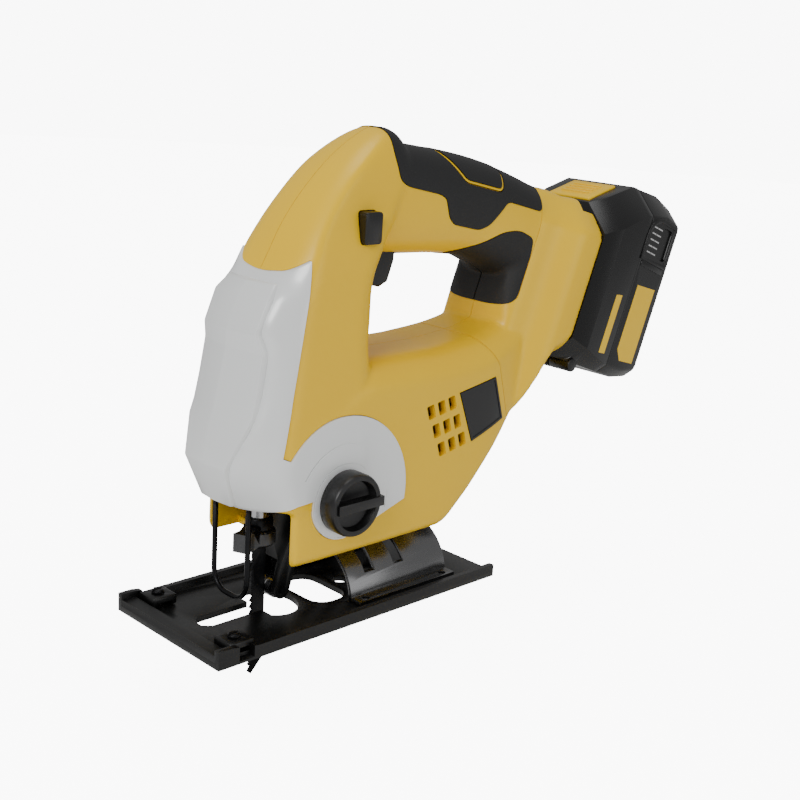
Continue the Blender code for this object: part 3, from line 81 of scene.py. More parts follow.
# height, middle x, rim x, rim half width, shoulder x, side half width, rear x
COLUMN = [
    (58, 28, 29, 13, 42, 32.5, 92),
    (78, 21, 21, 15.5, 36.5, 32.5, 92),
    (95, 27, 27, 21, 38.5, 31.5, 92),
    (112, 32.5, 32.5, 22, 42, 30.0, 91),
    (128, 35, 35, 21.5, 45, 28.7, 90),
    (136, 33, 33, 19.5, 46.5, 28.0, 91),
    (150, 38.5, 38.5, 19.5, 50, 27.0, 92),
    (158, 44, 45, 17, 52.5, 26.3, 94),
    (165, 48, 50, 17, 55, 25.3, 98),
    (177, 54.5, 57, 15.5, 61, 22.4, 106),
    (188, 62.5, 65, 14.5, 69, 20.5, 114),
    (202, 76, 78.5, 13, 82, 18.7, 121),
    (211, 87.5, 90, 11, 94, 15.6, 119),
    (217, 98, 100, 8, 103.5, 11.4, 115),
    (219.5, 104, 105, 4, 107, 6.5, 111),
]
# x, underside, top, half width, lower corner
CASE = [
    (44, 32, 72, 31.9, 3),
    (58, 32, 104, 32.5, 3),
    (92, 32, 119, 32.5, 3),
    (135, 32, 119, 32.5, 3.5),
    (150, 39, 120, 32.0, 6),
    (168, 54, 122, 31.0, 8),
    (192, 79, 129, 26.5, 8),
]
# x, underside, top, half width
GRIP = [
    (88, 164, 209, 16),
    (104, 163, 215, 19),
    (118, 162, 213, 19.5),
    (140, 161, 210, 20),
    (161, 159, 206.5, 20),
    (180, 152, 202, 21),
    (196, 143, 197, 22),
    (214, 134, 190.5, 23),
    (226, 132, 186, 23.5),
]
# back, lowest and highest along the rails, half width
BRACKET = [
    (126, 190, 245, 16),
    (131, 165, 251, 22),
    (143, 128, 253, 25),
    (151, 136, 253, 29.5),
    (156, 152, 254, 32),
    (161, 167, 255, 32.5),
    (171, 174, 256, 32.5),
]
# height, middle x, rim x, rim half width
PANEL = [
    (59, 24, 25, 11),
    (78, 17, 18, 14.5),
    (95, 20, 24, 20),
    (101, 22, 27, 21),
    (112, 24.5, 29.5, 21),
    (128, 28, 32, 20.5),
    (136, 28, 29.5, 18),
    (150, 33.5, 35.5, 18.5),
    (156, 38, 41, 16),
]
KNOB = (70.5, 59.5)
EAR_RADIUS = 38.5
BOSS_RADIUS = 18.0
TILT = math.radians(20)
BACK = Vector((math.cos(TILT), 0, -math.sin(TILT)))
ALONG = Vector((math.sin(TILT), 0, math.cos(TILT)))
SEAM_BACK = 132.0
GRIP_EDGE = [
    (107, 228), (105.5, 209), (107.5, 198), (113, 195), (133, 191), (137, 189), (140, 180),
    (144, 176.5), (162, 173), (168, 175), (180, 186),
]
INSERT_EDGE = [(142, 222), (142, 209), (152, 197), (176, 192), (179.5, 199), (182, 218)]
REAR_GRIP_EDGE = [(150, 154), (149, 161), (166, 165.5), (178, 171), (189, 171.5), (199, 167)]
PLATE_EDGE = [(143.5, 98), (170, 102), (178, 80), (154, 72.5)]

WORK = bpy.data.collections.new("working")
SHOW = bpy.data.collections.new("pieces")
bpy.context.scene.collection.children.link(WORK)
bpy.context.scene.collection.children.link(SHOW)


# ---------------------------------------------------------------- modelling helpers


def place(x, y, z):
    """A point in the frame, in metres, from millimetres behind the shoe's front edge."""
    return Vector(((FRONT_EDGE + x) * MM, y * MM, z * MM))


def on_pack(back, along, y=0.0):
    """A point given in the battery's tilted directions."""
    spot = BACK * back + ALONG * along
    return place(spot.x, y, spot.z)


def working(mesh):
    thing = bpy.data.objects.new("work", mesh)
    WORK.objects.link(thing)
    return thing


def from_bmesh(work):
    mesh = bpy.data.meshes.new("mesh")
    bmesh.ops.recalc_face_normals(work, faces=work.faces)
    if work.calc_volume(signed=True) < 0:
        bmesh.ops.reverse_faces(work, faces=work.faces)
    work.to_mesh(mesh)
    work.free()
    return working(mesh)


def settled(thing):
    """The object's mesh with its modifiers applied."""
    bpy.context.view_layer.update()
    graph = bpy.context.evaluated_depsgraph_get()
    mesh = bpy.data.meshes.new_from_object(thing.evaluated_get(graph))
    thing.modifiers.clear()
    thing.data = mesh
    return thing


def combine(target, tool, operation):
    cut = target.modifiers.new("cut", "BOOLEAN")
    cut.operation = operation
    cut.solver = "MANIFOLD"
    cut.object = tool
    settled(target)
    bpy.data.objects.remove(tool)
    return target


def minus(target, *tools):
    for tool in tools:
        combine(target, tool, "DIFFERENCE")
    return target


def plus(target, *tools):
    for tool in tools:
        combine(target, tool, "UNION")
    return target


def inside(target, tool):
    return combine(target, tool, "INTERSECT")


def twin(thing):
    return working(thing.data.copy())


def loft(rings):
    """A closed skin over a row of rings."""
    work = bmesh.new()
    loops = []
    for ring in rings:
        verts = [work.verts.new(p) for p in ring]
        loops.append([work.edges.new(pair) for pair in zip(verts, verts[1:] + verts[:1])])
    for near, far in zip(loops, loops[1:]):
        bmesh.ops.bridge_loops(work, edges=near + far)
    bmesh.ops.holes_fill(work, edges=loops[0] + loops[-1], sides=0)
    return from_bmesh(work)


def prism(outline, low, high, to_frame=None):
    """An outline, seen from the side, pushed through from one y to another."""
    lay = to_frame or (lambda u, v, y: place(u, y, v))
    work = bmesh.new()
    face = work.faces.new([work.verts.new(lay(u, v, low)) for u, v in outline])
    swept = bmesh.ops.extrude_face_region(work, geom=[face])
    verts = [part for part in swept["geom"] if isinstance(part, bmesh.types.BMVert)]
    shift = lay(*outline[0], high) - lay(*outline[0], low)
    bmesh.ops.translate(work, verts=verts, vec=shift)
    return from_bmesh(work)


def pack_prism(outline, low, high):
    """An outline in (back, along), pushed through the battery from side to side."""
    return prism(outline, low, high, lambda u, v, y: on_pack(u, v, y))


def box(low, high, lay=place):
    work = bmesh.new()
    bmesh.ops.create_cube(work, size=1.0)
    a, b = Vector(low), Vector(high)
    for vert in work.verts:
        vert.co = lay(*[a[i] + (b[i] - a[i]) * (vert.co[i] + 0.5) for i in range(3)])
    return from_bmesh(work)


def pack_box(back, along, side):
    return box((back[0], along[0], side[0]), (back[1], along[1], side[1]), on_pack)


TURNS = {"X": Matrix.Rotation(math.pi / 2, 4, "Y"), "Y": Matrix.Rotation(-math.pi / 2, 4, "X")}
TURNS["Z"] = Matrix.Identity(4)


def round_bar(axis, low, high, centre, radius):
    work = bmesh.new()
    sizes = {"radius1": radius * MM, "radius2": radius * MM, "depth": (high - low) * MM}
    bmesh.ops.create_cone(work, cap_ends=True, segments=BAR_SIDES, **sizes)
    middle = (low + high) / 2
    spots = {"X": (middle, *centre), "Y": (centre[0], middle, centre[1]), "Z": (*centre, middle)}
    work.transform(Matrix.Translation(place(*spots[axis])) @ TURNS[axis])
    return from_bmesh(work)


def softened(thing, width, segments=3, sharper_than=28):
    """Rounds every edge that is sharper than an angle."""
    work = bmesh.new()
    work.from_mesh(thing.data)
    flat = {"verts": work.verts, "edges": work.edges, "angle_limit": math.radians(0.3)}
    bmesh.ops.dissolve_limit(work, use_dissolve_boundaries=False, **flat)
    limit = math.radians(sharper_than)
    edges = [e for e in work.edges if e.is_manifold and e.calc_face_angle(0) > limit]
    size = {"offset": width * MM, "segments": segments, "profile": 0.5, "material": -1}
    bmesh.ops.bevel(work, geom=edges, affect="EDGES", clamp_overlap=True, **size)
    work.to_mesh(thing.data)
    work.free()
    return thing


def merged_copy(node):
    """A welded copy of a node's mesh, to be finished as a piece of its own."""
    work = bmesh.new()
    work.from_mesh(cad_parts[node].data)
    bmesh.ops.remove_doubles(work, verts=work.verts, dist=2e-6)
    return from_bmesh(work)


def arc(centre, radius, start, end, steps):
    turns = [math.radians(start + (end - start) * i / steps) for i in range(steps + 1)]
    return [(centre[0] + radius * math.cos(t), centre[1] + radius * math.sin(t)) for t in turns]


def filleted(outline, radius, steps=4):
    """An outline with each corner rounded, by at most two fifths of its shorter edge."""
    result = []
    count = len(outline)
    for i in range(count):
        corner = Vector(outline[i])
        before, after = Vector(outline[i - 1]) - corner, Vector(outline[(i + 1) % count]) - corner
        reach = min(radius, 0.4 * before.length, 0.4 * after.length)
        a, b = corner + before.normalized() * reach, corner + after.normalized() * reach
        for j in range(steps + 1):
            t = j / steps
            point = a * (1 - t) ** 2 + corner * 2 * t * (1 - t) + b * t * t
            result.append(tuple(point))
    return result


def grown(outline, distance):
    """An outline moved outwards by a distance, corner by corner."""
    area = sum(a[0] * b[1] - b[0] * a[1] for a, b in zip(outline, outline[1:] + outline[:1]))
    turn = 1 if area > 0 else -1
    result = []
    for before, here, after in zip(outline[-1:] + outline[:-1], outline, outline[1:] + outline[:1]):
        a = (Vector(here) - Vector(before)).normalized()
        b = (Vector(after) - Vector(here)).normalized()
        normal = (Vector((a.y, -a.x)) + Vector((b.y, -b.x))).normalized()
        stretch = max(normal.dot(Vector((a.y, -a.x))), 0.5)
        result.append(tuple(Vector(here) + normal * distance * turn / stretch))
    return result


def eased(rows, step):
    """Rows about a step apart, on smooth curves through the values of the given ones."""
    spans = [b[0] - a[0] for a, b in zip(rows, rows[1:])]
    columns = list(zip(*rows))
    slopes = []
    for values in columns:
        rise = [(b - a) / s for a, b, s in zip(values, values[1:], spans)]
        inner = [2 * a * b / (a + b) if a * b > 0 else 0.0 for a, b in zip(rise, rise[1:])]
        slopes.append([rise[0]] + inner + [rise[-1]])
    result = []
    for i, span in enumerate(spans):
        count = max(1, round(span / step))
        for j in range(count):
            t = j / count
            h = (2 * t**3 - 3 * t**2 + 1, t**3 - 2 * t**2 + t, 3 * t**2 - 2 * t**3, t**3 - t**2)
            row = []
            for values, slope in zip(columns, slopes):
                ends = h[0] * values[i] + h[2] * values[i + 1]
                row.append(ends + span * (h[1] * slope[i] + h[3] * slope[i + 1]))
            result.append(tuple(row))
    return result + [tuple(rows[-1])]


def both_sides(half):
    """A ring from its half at positive y, given from the middle round to the middle."""
    return half + [(x, -y) for x, y in reversed(half) if abs(y) > 1e-9]


# ---------------------------------------------------------------- the body


def column_ring(row):
    z, middle, rim, rim_y, shoulder, side, rear = row
    corner = min(9.0, side * 0.6)
    half = [(middle, 0), (rim, rim_y), (shoulder, side), (rear - corner, side)]
    half += [(rear - corner * 0.3, side - corner * 0.3), (rear, side - corner)]
    return [place(x, y, z) for x, y in filleted(both_sides(half), 5)]


def case_ring(row):
    x, low, high, side, corner = row
    arch = [(side - 17 + 17 * math.cos(t), high - 17 + 17 * math.sin(t)) for t in (0.35, 0.7, 1.05, 1.4)]
    half = [(low, side - corner), (low + corner, side)] + [(z, y) for y, z in arch]
    return [place(x, y, z) for z, y in filleted(half + [(z, -y) for z, y in reversed(half)], 3)]


def grip_ring(row, count=40):
    x, low, high, side = row
    middle, tall = (low + high) / 2, (high - low) / 2
    ring = []
    for i in range(count):
        t = 2 * math.pi * (i + 0.5) / count
        y = side * math.copysign(abs(math.cos(t)) ** 0.8, math.cos(t))
        z = middle + tall * math.copysign(abs(math.sin(t)) ** 0.85, math.sin(t))
        ring.append(place(x, y, z))
    return ring


def bracket_ring(row):
    back, low, high, side = row
    half = [(low, side * 0.55), (low + 5, side * 0.85), (low + 12, side), (high - 16, side)]
    half += [(high, side * 0.53)]
    ring = half + [(a, -y) for a, y in reversed(half)]
    return [on_pack(back, a, y) for a, y in filleted(ring, 3)]


def body_form():
    """The whole moulding, with soft fillets where the handle and the bracket grow out of it."""
    form = loft([column_ring(row) for row in eased(COLUMN, 3)])
    plus(form, loft([case_ring(row) for row in eased(CASE, 4)]))
    plus(form, loft([grip_ring(row) for row in eased(GRIP, 4)]))
    plus(form, loft([bracket_ring(row) for row in eased(BRACKET, 3)]))
    mesher = form.modifiers.new("mesher", "REMESH")
    mesher.mode = "VOXEL"
    mesher.voxel_size = VOXEL * MM
    mesher.adaptivity = 0
    settled(form)
    work = bmesh.new()
    work.from_mesh(form.data)
    bpy.data.objects.remove(form)
    axes = {"use_axis_x": True, "use_axis_y": True, "use_axis_z": True}
    for _ in range(SMOOTH_PASSES):
        bmesh.ops.smooth_vert(work, verts=work.verts, factor=0.5, **axes)
    return from_bmesh(work)


def puffed(form, distance):
    """The form moved outwards by a distance, or inwards by a negative one."""
    work = bmesh.new()
    work.from_mesh(form.data)
    work.normal_update()
    for vert in work.verts:
        vert.co += vert.normal * distance * MM
    mesh = bpy.data.meshes.new("puffed")
    work.to_mesh(mesh)
    work.free()
    return working(mesh)


def cover_edge(steps=28):
    front = [(0, 57), (0, 157), (42, 157), (54, 166), (36, 84.5)]
    ear = arc(KNOB, EAR_RADIUS, 143, -10, steps)
    boss = arc(KNOB, BOSS_RADIUS, -72, -190, steps // 2)
    return front + ear + boss + [(44, 62), (34, 58)]


def seam_point(along, gap):
    spot = BACK * (SEAM_BACK - gap) + ALONG * along
    return (spot.x, spot.z)


def grip_edge():
    return filleted(GRIP_EDGE + [seam_point(239.5, SEAM), seam_point(262, SEAM)], 3)


def rear_grip_edge():
    upper, lower = seam_point(218, 2 * SEAM), seam_point(193.5, 2 * SEAM)
    return filleted(REAR_GRIP_EDGE + [upper, lower, (176, 131)], 4)


def rear_edge():
    high, low = seam_point(262, 0), seam_point(195, 0)
    return [high, low, (172, 128), (163, 121), (173, 108), (183, 79), (182, 55), (250, 55), (290, 230)]


def skin(form, outline, proud, depth):
    """A thin piece of the body's surface inside an outline."""
    piece = inside(puffed(form, proud), prism(outline, -WIDE, WIDE))
    return minus(piece, puffed(form, -depth))


def pocket(form, outline, depth):
    return minus(prism(outline, -WIDE, WIDE), puffed(form, -depth))


def halves(thing, gap=0.12):
    left = twin(thing)
    minus(left, box((-50, -gap, -60), (400, 90, 320)))
    minus(thing, box((-50, -90, -60), (400, gap, 320)))
    return left, thing


def vents():
    tools = []
    for row in range(3):
        for column in range(3):
            x = 124.5 + column * 7.0 + row * 4.2
            z = 91.0 - row * 9.6 + column * 1.2
            slot = [(x - 3.3, z + 3.3), (x + 1.3, z + 4.3), (x + 3.3, z - 2.3), (x - 1.3, z - 3.3)]
            tools.append(prism(filleted(slot, 0.7, 2), -WIDE, WIDE))
    return tools


def body_shells():
    form = body_form()
    shell = twin(form)
    cover = cover_edge()
    minus(shell, pocket(form, grown(cover, SEAM), 2.3))
    minus(shell, pocket(form, grown(grip_edge(), SEAM), POCKET_DEPTH))
    minus(shell, pocket(form, grown(rear_grip_edge(), SEAM), POCKET_DEPTH))
    minus(shell, pocket(form, grown(PLATE_EDGE, SEAM), 1.0))
    minus(shell, puffed(form, -3.6))
    rear = inside(twin(shell), prism(rear_edge(), -WIDE, WIDE))
    minus(shell, prism(grown(rear_edge(), SEAM), -WIDE, WIDE))
    minus(shell, box((24, -10.4, 20), (40, 10.4, 67)), box((38.2, -14, 20), (74, 14, 67)))
    minus(shell, box((20, -28.5, 20), (60, 28.5, 57)))
    minus(shell, round_bar("Y", -WIDE, 0, KNOB, KNOB_BORE))
    lock_way = [(81.1, 171.1), (91.9, 171.1), (91.9, 185.9), (81.1, 185.9)]
    minus(shell, prism(filleted(lock_way, 2), -WIDE, WIDE))
    minus(shell, box((98, -9, 120), (118.6, 9, 179)))
    minus(shell, *vents())
    for x in (101, 120):
        minus(shell, round_bar("Z", 10, 46, (x, 0), 2.4))
    for side, piece in zip(("left", "right"), halves(shell)):
        nodes = ["housing_" + side]
        finish_piece(piece, "shell_" + side, "housing", yellow_abs, nodes)
    minus(rear, pack_box((160.5, 175), (192.5, 300), (-22.6, 22.6)))
    for side, piece in zip(("left", "right"), halves(rear)):
        nodes = ["rear_shell_" + side]
        finish_piece(piece, "battery_shell_" + side, "housing", yellow_abs, nodes)
    nose(form)
    soft_grips(form)
    plates(form)
    bpy.data.objects.remove(form)


def nose(form):
    cover = skin(form, cover_edge(), 0.7, 1.9)
    rings = []
    for z, middle, rim, rim_y in PANEL:
        back = rim + 3.5
        rings.append([place(x, y, z) for x, y in both_sides([(middle, 0), (rim, rim_y), (back, rim_y)])])
    plus(cover, softened(loft(rings), 0.9, 2, 10))
    minus(cover, box((30, -14.5, 40), (90, 14.5, 62)))
    minus(cover, round_bar("Y", -WIDE, 0, KNOB, KNOB_BORE))
    minus(cover, *ear_grooves())
    finish_piece(cover, "nose_casting", "housing", silver_lacquer, ["nose_cover"])


def ear_grooves():
    """Two fine lines scribed round the orbital knob."""
    tools = []
    for radius, start, end in ((26.5, -18, 150), (17.2, 0, 350)):
        outer = arc(KNOB, radius + 0.3, start, end, 60)
        inner = arc(KNOB, radius - 0.3, end, start, 60)
        tools.append(prism(outer + inner, -40, -HALF - 0.2))
    return tools


def soft_grips(form):
    grips = skin(form, grip_edge(), GRIP_PROUD, SKIN_DEPTH)
    pad_edge = filleted(INSERT_EDGE, 2)
    minus(grips, prism(grown(pad_edge, 1.9), -WIDE, WIDE))
    trim = skin(form, grown(pad_edge, 1.3), 0.1, SKIN_DEPTH)
    minus(trim, prism(grown(pad_edge, 0.35), -WIDE, WIDE))
    finish_piece(trim, "thumb_pad_edging", "housing", yellow_abs)
    for side, piece in zip(("left", "right"), halves(grips)):
        nodes = ["grip_overmould_" + side]
        finish_piece(piece, "soft_grip_" + side, "housing", rubber, nodes)
    pad = skin(form, pad_edge, 0.6, SKIN_DEPTH)
    finish_piece(pad, "thumb_pad", "housing", rubber, ["grip_top_insert"])
    palm = skin(form, rear_grip_edge(), 0.3, SKIN_DEPTH)
    for side, piece in zip(("left", "right"), halves(palm, 0.35)):
        nodes = ["rear_grip_" + side]
        finish_piece(piece, "palm_pad_" + side, "housing", rubber, nodes)


def plates(form):
    """Blank plates with a thin raised border."""
    blank = skin(form, PLATE_EDGE, 0.35, 0.9)
    minus(blank, minus(prism(grown(PLATE_EDGE, -1.2), -WIDE, WIDE), puffed(form, 0.1)))
    for side, piece in zip(("left", "right"), halves(blank)):
        nodes = ["plate_" + side]
        finish_piece(piece, "blank_plate_" + side, "housing", black_nylon, nodes)


# ---------------------------------------------------------------- battery

WINDOW = [(202, 240)] + arc((211, 251), 9, 180, 90, 8) + [(223, 260), (223, 240)]
WIDE_STRIPE = [(205.5, 189), (210, 183.5), (222, 184.5), (222, 226), (205.5, 224.5)]
NARROW_STRIPE = [(190, 183.5), (195, 184), (195, 216), (190, 215)]
SIDE = 37.5


def battery():
    front = softened(merged_copy("battery_front_shell"), 0.9)
    rear = softened(merged_copy("battery_rear_shell"), 1.1)
    films, lines = [], []
    for side in (-1, 1):
        face, proud = side * SIDE, side * (SIDE + 0.5)
        deep = [(213.5, 241.5), (222, 241.5), (222, 258.5), (213.5, 258.5)]
        for shell in (front, rear):
            rim = pack_prism(grown(WINDOW, 2.2), *sorted((face - side * 1.5, proud)))
            minus(rim, pack_prism(WINDOW, -WIDE, WIDE))
            half = pack_box((150, 199.85) if shell is front else (200.15, 260), (150, 300), (-WIDE, WIDE))
            plus(shell, softened(inside(rim, half), 0.25, 2))
        minus(rear, pack_prism(filleted(deep, 2), *sorted((face - side * 1.1, proud + side * 9))))
        ledge = [(202, 234.5), (223, 234.5), (223, 237.5), (202, 237.5)]
        plus(rear, softened(pack_prism(ledge, *sorted((face - side, proud))), 0.3, 2))
        for edge in (WIDE_STRIPE, NARROW_STRIPE):
            films.append(softened(pack_prism(edge, *sorted((face - side * 0.6, face + side * 0.15))), 0.1, 1))
        for row in range(5):
            along = 242.5 + row * 3.4
            for start, end in ((203.8, 207.4), (208.0, 212.2)):
                low, high = sorted((face - side * 0.4, face + side * 0.12))
                lines.append(pack_box((start, end), (along, along + 0.7), (low, high)))
    for low, high in ((-31, -18), (-17.5, -4), (4, 17.5), (18, 31)):
        spot = BACK * 180.5 + ALONG * 172.8
        plus(front, softened(round_bar("Y", low, high, (spot.x, spot.z), 3.6), 0.5, 2))
    finish_piece(front, "pack_front", "battery", pack_abs, ["battery_front_shell"])
    finish_piece(rear, "pack_rear", "battery", pack_abs, ["battery_rear_shell"])
    finish_piece(plus(*films), "pack_stripes", "battery", yellow_film)
    finish_piece(plus(*lines), "charge_lines", "battery", white_print)


# ---------------------------------------------------------------- controls and ironwork


def knurled_ring():
    """The blade clamp's ring: the node's own shape with a knurled band round it."""
    work = bmesh.new()
    bmesh.ops.create_circle(work, cap_ends=True, segments=88, radius=7.75 * MM)
    for index, vert in enumerate(work.verts):
        if index % 2:
            vert.co *= 0.95
    swept = bmesh.ops.extrude_face_region(work, geom=work.faces[:])
    verts = [part for part in swept["geom"] if isinstance(part, bmesh.types.BMVert)]
    bmesh.ops.translate(work, verts=verts, vec=(0, 0, 5.4 * MM))
    work.transform(Matrix.Translation(place(PLUNGER_X, 0, 34.8)))
    band = minus(from_bmesh(work), round_bar("Z", 20, 60, (PLUNGER_X, 0), 6.9))
    return plus(merged_copy("clamp_ring"), band)


def ironwork():
    """Pieces that keep the node's shape, with their edges broken."""
    rows = [
        ("sole_plate", "shoe", "base", "black_steel", coated_steel, 0.45),
        ("tilt_bracket", "bevel_bracket", "base", "bare_steel", plated_steel, 0.35),
        ("fence_clamp_left", "guide_clamp_left", "base", "black_steel", coated_steel, 0.4),
        ("fence_clamp_right", "guide_clamp_right", "base", "black_steel", coated_steel, 0.4),
        ("fence_screw_left", "guide_screw_left", "base", "black_steel", oxide_steel, 0.3),
        ("fence_screw_right", "guide_screw_right", "base", "black_steel", oxide_steel, 0.3),
        ("wire_guard", "chip_guard", "housing", "black_steel", oxide_steel, 0),
        ("clamp_body", "blade_clamp", "plunger", "black_steel", oxide_steel, 0.25),
        ("blade", "saw_blade", "plunger", "black_steel", oxide_steel, 0),
        ("guide_fork", "roller_fork", "roller_bracket", "black_steel", coated_steel, 0.3),
        ("mode_knob", "orbital_knob", "orbital_selector", "black_plastic", black_nylon, 0.5),
        ("side_lock", "lock_button", "lock", "black_plastic", black_nylon, 0.9),
        ("finger_trigger", "trigger", "trigger", "black_plastic", black_nylon, 1.2),
        ("release_pad", "battery_release", "release", "yellow_plastic", yellow_abs, 0.35),
    ]
    for name, node, body, slot, material, width in rows:
        piece = merged_copy(node)
        if width:
            softened(piece, width, 2)
        finish_piece(piece, name, body, material, [node])
    finish_piece(knurled_ring(), "clamp_collar", "clamp_lever", ring_steel, ["clamp_ring"])


# ---------------------------------------------------------------- materials


def linear(colour):
    """sRGB hex to the linear values that shaders take."""
    values = [int(colour[i:i + 2], 16) / 255 for i in (1, 3, 5)]
    return (*[v / 12.92 if v <= 0.04045 else ((v + 0.055) / 1.055) ** 2.4 for v in values], 1.0)


def add(tree, kind, links=(), settings=(), **values):
    """Adds a node, sets its properties and inputs, and links outputs of others to its inputs."""
    node = tree.nodes.new(kind)
    for name, value in dict(settings).items():
        setattr(node, name, value)
    for name, value in values.items():
        node.inputs[name.replace("_", " ")].default_value = value
    for name, output in dict(links).items():
        tree.links.new(output, node.inputs[name])
    return node


def finish_of(
    name, base, dark, grain_mm, blotch_mm, roughness, spread, bump_mm,
    metallic=0.0, stretch=None, **more
):
    """A material whose colour, roughness and relief vary with a fine grain and a broad blotch."""
    material = bpy.data.materials.new(name)
    material.use_nodes = True
    tree = material.node_tree
    shader = tree.nodes["Principled BSDF"]
    shader.inputs["Metallic"].default_value = metallic
    for key, value in more.items():
        shader.inputs[key.replace("_", " ")].default_value = value
    spot = add(tree, "ShaderNodeTexCoord").outputs["Object"]
    if stretch:
        spot = add(tree, "ShaderNodeMapping", {"Vector": spot}, Scale=stretch).outputs["Vector"]
    grain = add(tree, "ShaderNodeTexNoise", {"Vector": spot}, Scale=1 / (grain_mm * MM), Detail=3.0)
    blotch = add(tree, "ShaderNodeTexNoise", {"Vector": spot}, Scale=1 / (blotch_mm * MM), Detail=2.0)
    mix = add(tree, "ShaderNodeMix", {"Factor": blotch.outputs["Fac"]}, {"data_type": "RGBA"})
    mix.inputs[6].default_value = linear(base)
    mix.inputs[7].default_value = linear(dark)
    tree.links.new(mix.outputs[2], shader.inputs["Base Color"])
    ends = {"To_Min": roughness - spread, "To_Max": roughness + spread}
    lift = add(tree, "ShaderNodeMapRange", {"Value": grain.outputs["Fac"]}, **ends)
    tree.links.new(lift.outputs["Result"], shader.inputs["Roughness"])
    depth = {"Distance": bump_mm * MM, "Strength": 1.0}
    relief = add(tree, "ShaderNodeBump", {"Height": grain.outputs["Fac"]}, **depth)
    tree.links.new(relief.outputs["Normal"], shader.inputs["Normal"])
    return material


# ABS from a lightly sparked mould: even, deep yellow with a soft satin sheen
yellow_abs = finish_of("yellow_abs", "#ffd000", "#fdca00", 0.7, 40, 0.34, 0.04, 0.006)
# silver two-pack lacquer: clean and bright, with a clear, slightly blurred reflection
silver_lacquer = finish_of(
    "silver_lacquer", "#f6f8f7", "#f2f4f3", 0.4, 60, 0.30, 0.02, 0.0008,
    metallic=0.1, Coat_Weight=0.4, Coat_Roughness=0.15
)
# thermoplastic rubber: dead matt, dark grey, with a fine leathery grain
rubber = finish_of("moulded_rubber", "#19191a", "#151516", 0.8, 20, 0.62, 0.08, 0.04)
# glass-filled nylon: satin black with small highlights on its edges
black_nylon = finish_of("black_nylon", "#101011", "#0c0c0d", 0.7, 25, 0.34, 0.06, 0.010)
# the battery's ABS: a smoother black that shows broad grey reflections on its chamfers
pack_abs = finish_of("pack_abs", "#0b0b0c", "#080809", 0.9, 30, 0.28, 0.05, 0.006)
# powder-coated pressed steel: black with a faint orange peel
coated_steel = finish_of("coated_steel", "#0f0f0f", "#0b0b0b", 1.2, 30, 0.36, 0.07, 0.02, metallic=0.2)
# zinc-plated strip drawn along its length: mid grey with streaked highlights
plated_steel = finish_of(
    "plated_steel", "#828283", "#737374", 0.5, 15, 0.26, 0.08, 0.006,
    metallic=1.0, stretch=(0.08, 1, 1)
)
# knurled steel ring: darker, with a sparkle on its points
ring_steel = finish_of("ring_steel", "#5a5a5b", "#4a4a4b", 0.4, 5, 0.32, 0.08, 0.006, metallic=0.9)
# ground shafts and pins: bright and sharp
ground_steel = finish_of("ground_steel", "#c4c4c5", "#b4b4b6", 0.4, 8, 0.22, 0.05, 0.004, metallic=1.0)
# oxide-blackened steel: near black with a metal glint
oxide_steel = finish_of("oxide_steel", "#161618", "#1e1e20", 0.5, 6, 0.34, 0.07, 0.008, metallic=0.7)
# sintered bronze: warm brown and slightly pitted
bronze = finish_of("sintered_bronze", "#a9793f", "#8f6533", 0.3, 5, 0.4, 0.08, 0.02, metallic=1.0)
# enamelled copper: reddish strands
copper = finish_of(
    "copper_winding", "#b0603a", "#8e4a2b", 0.6, 5, 0.35, 0.06, 0.05,
    metallic=1.0, stretch=(1, 0.1, 1)
)
# lacquered circuit board: deep green
board = finish_of("circuit_board", "#0d5a2f", "#0b4a28", 0.8, 6, 0.35, 0.05, 0.02)
# heat-shrunk film on the cells: glossy blue
cell_wrap = finish_of("cell_wrap", "#1d4f94", "#194684", 0.6, 12, 0.3, 0.05, 0.01)
# printed film: flat yellow, a little paler than the mouldings
yellow_film = finish_of("yellow_film", "#ffd220", "#fccb12", 0.5, 20, 0.36, 0.04, 0.003)
# screen print: dull white
white_print = finish_of("white_print", "#c4c4c4", "#bcbcbc", 0.4, 8, 0.5, 0.05, 0.003)


def finish_piece(thing, name, body, material, nodes=(), sharp=32):
    """Names a piece, shades it, ties it to its body and hides the nodes it stands for."""
    thing.name = name
    thing.data.name = name
    WORK.objects.unlink(thing)
    SHOW.objects.link(thing)
    thing.data.materials.clear()
    thing.data.materials.append(material)
    thing.data.shade_smooth()
    thing.data.set_sharp_from_angle(angle=math.radians(sharp))
    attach(thing, body)
    if nodes:
        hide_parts(*nodes)
    return thing


def dress_nodes():
    """Finishes for the inner pieces, which keep their own shapes."""
    finishes = {
        ground_steel: [
            "gear_axle", "motor_bearing_front", "motor_bearing_rear", "motor_shaft", "pinion",
            "eccentric_pin", "plunger", "fork_pivot_pin", "guide_roller",
        ],
        plated_steel: [
            "gear_frame", "motor_can", "drive_gear", "plunger_yoke", "bevel_screw_1", "bevel_screw_2",
        ],
        oxide_steel: ["housing_screw_%d" % (i + 1) for i in range(5)] + ["roller_pin"],
        bronze: ["plunger_bush_lower", "plunger_bush_upper"],
        copper: ["rotor"],
        black_nylon: ["cooling_fan", "trigger_switch", "terminal_block"],
        board: ["control_board"],
        cell_wrap: ["cells_front_row", "cells_rear_row"],
    }
    for material, names in finishes.items():
        for name in names:
            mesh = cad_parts[name].data
            mesh.materials.clear()
            mesh.materials.append(material)


# ---------------------------------------------------------------- camera, light and floor


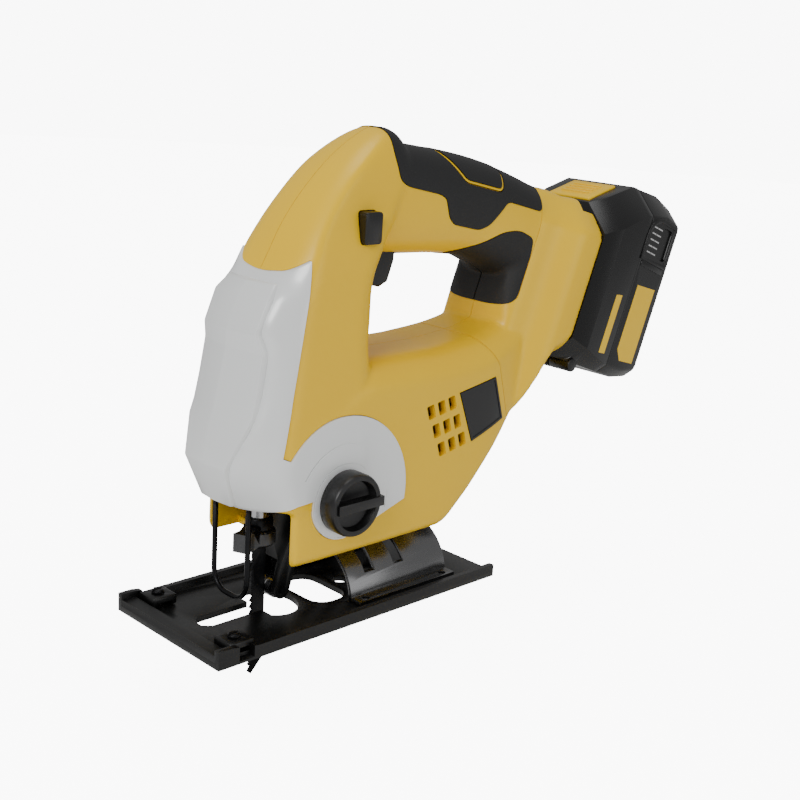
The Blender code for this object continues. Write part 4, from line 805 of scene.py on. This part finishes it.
def set_camera():
    turn, rise, roll = (math.radians(a) for a in (-45.15, 15.28, 3.61))
    back = Vector((math.sin(turn) * math.cos(rise), -math.cos(turn) * math.cos(rise), math.sin(rise)))
    right = Vector((math.cos(turn), math.sin(turn), 0))
    up = back.cross(right)
    across = right * math.cos(roll) + up * math.sin(roll)
    upward = up * math.cos(roll) - right * math.sin(roll)
    holder = bpy.data.objects.new("camera", bpy.data.cameras.new("camera"))
    holder.data.lens = 58.5
    holder.data.sensor_width = 36.0
    holder.data.clip_start = 0.01
    holder.matrix_world = Matrix((across, upward, back)).transposed().to_4x4()
    holder.location = place(134.9, 0, 88.4) + back * 0.635
    bpy.context.scene.collection.objects.link(holder)
    bpy.context.scene.camera = holder


def soft_light(name, spot, aim, size, power):
    lamp = bpy.data.lights.new(name, "AREA")
    lamp.shape = "DISK"
    lamp.size = size
    lamp.energy = power
    holder = bpy.data.objects.new(name, lamp)
    holder.location = spot
    holder.rotation_euler = (Vector(aim) - Vector(spot)).to_track_quat("-Z", "Y").to_euler()
    bpy.context.scene.collection.objects.link(holder)


WHITE = 9.0
AMBIENT = 0.42


def floor_paper():
    """Pale paper that glows towards the camera alone, so that it reads as white and lights nothing."""
    material = finish_of("pale_floor", "#fbfbfb", "#f8f8f8", 4, 200, 0.6, 0.05, 0.001)
    tree = material.node_tree
    seen = add(tree, "ShaderNodeLightPath").outputs["Is Camera Ray"]
    glow = add(tree, "ShaderNodeMapRange", {"Value": seen}, To_Min=0.0, To_Max=WHITE)
    shader = tree.nodes["Principled BSDF"]
    shader.inputs["Emission Color"].default_value = (1, 1, 1, 1)
    tree.links.new(glow.outputs["Result"], shader.inputs["Emission Strength"])
    return material


def studio():
    world = bpy.data.worlds.new("studio")
    bpy.context.scene.world = world
    world.use_nodes = True
    tree = world.node_tree
    background = tree.nodes["Background"]
    background.inputs["Color"].default_value = (1, 1, 1, 1)
    seen = add(tree, "ShaderNodeLightPath").outputs["Is Camera Ray"]
    strength = add(tree, "ShaderNodeMapRange", {"Value": seen}, To_Min=AMBIENT, To_Max=WHITE)
    tree.links.new(strength.outputs["Result"], background.inputs["Strength"])
    soft_light("key", (-1.3, -0.5, 1.0), (0, 0, 0.1), 0.8, 12)
    soft_light("fill", (0.5, -1.6, 0.4), (0, 0, 0.1), 1.0, 3)
    soft_light("top", (0.0, 0.2, 1.8), (0, 0, 0.1), 1.0, 7)
    work = bmesh.new()
    bmesh.ops.create_circle(work, cap_ends=True, segments=96, radius=3.0)
    mesh = bpy.data.meshes.new("floor")
    work.to_mesh(mesh)
    work.free()
    floor = bpy.data.objects.new("floor", mesh)
    floor.location.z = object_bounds()[0][2] - 0.0005
    bpy.context.scene.collection.objects.link(floor)
    floor.data.materials.append(floor_paper())
    floor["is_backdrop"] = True


set_camera()
studio()
dress_nodes()
body_shells()
battery()
ironwork()
bpy.context.view_layer.update()
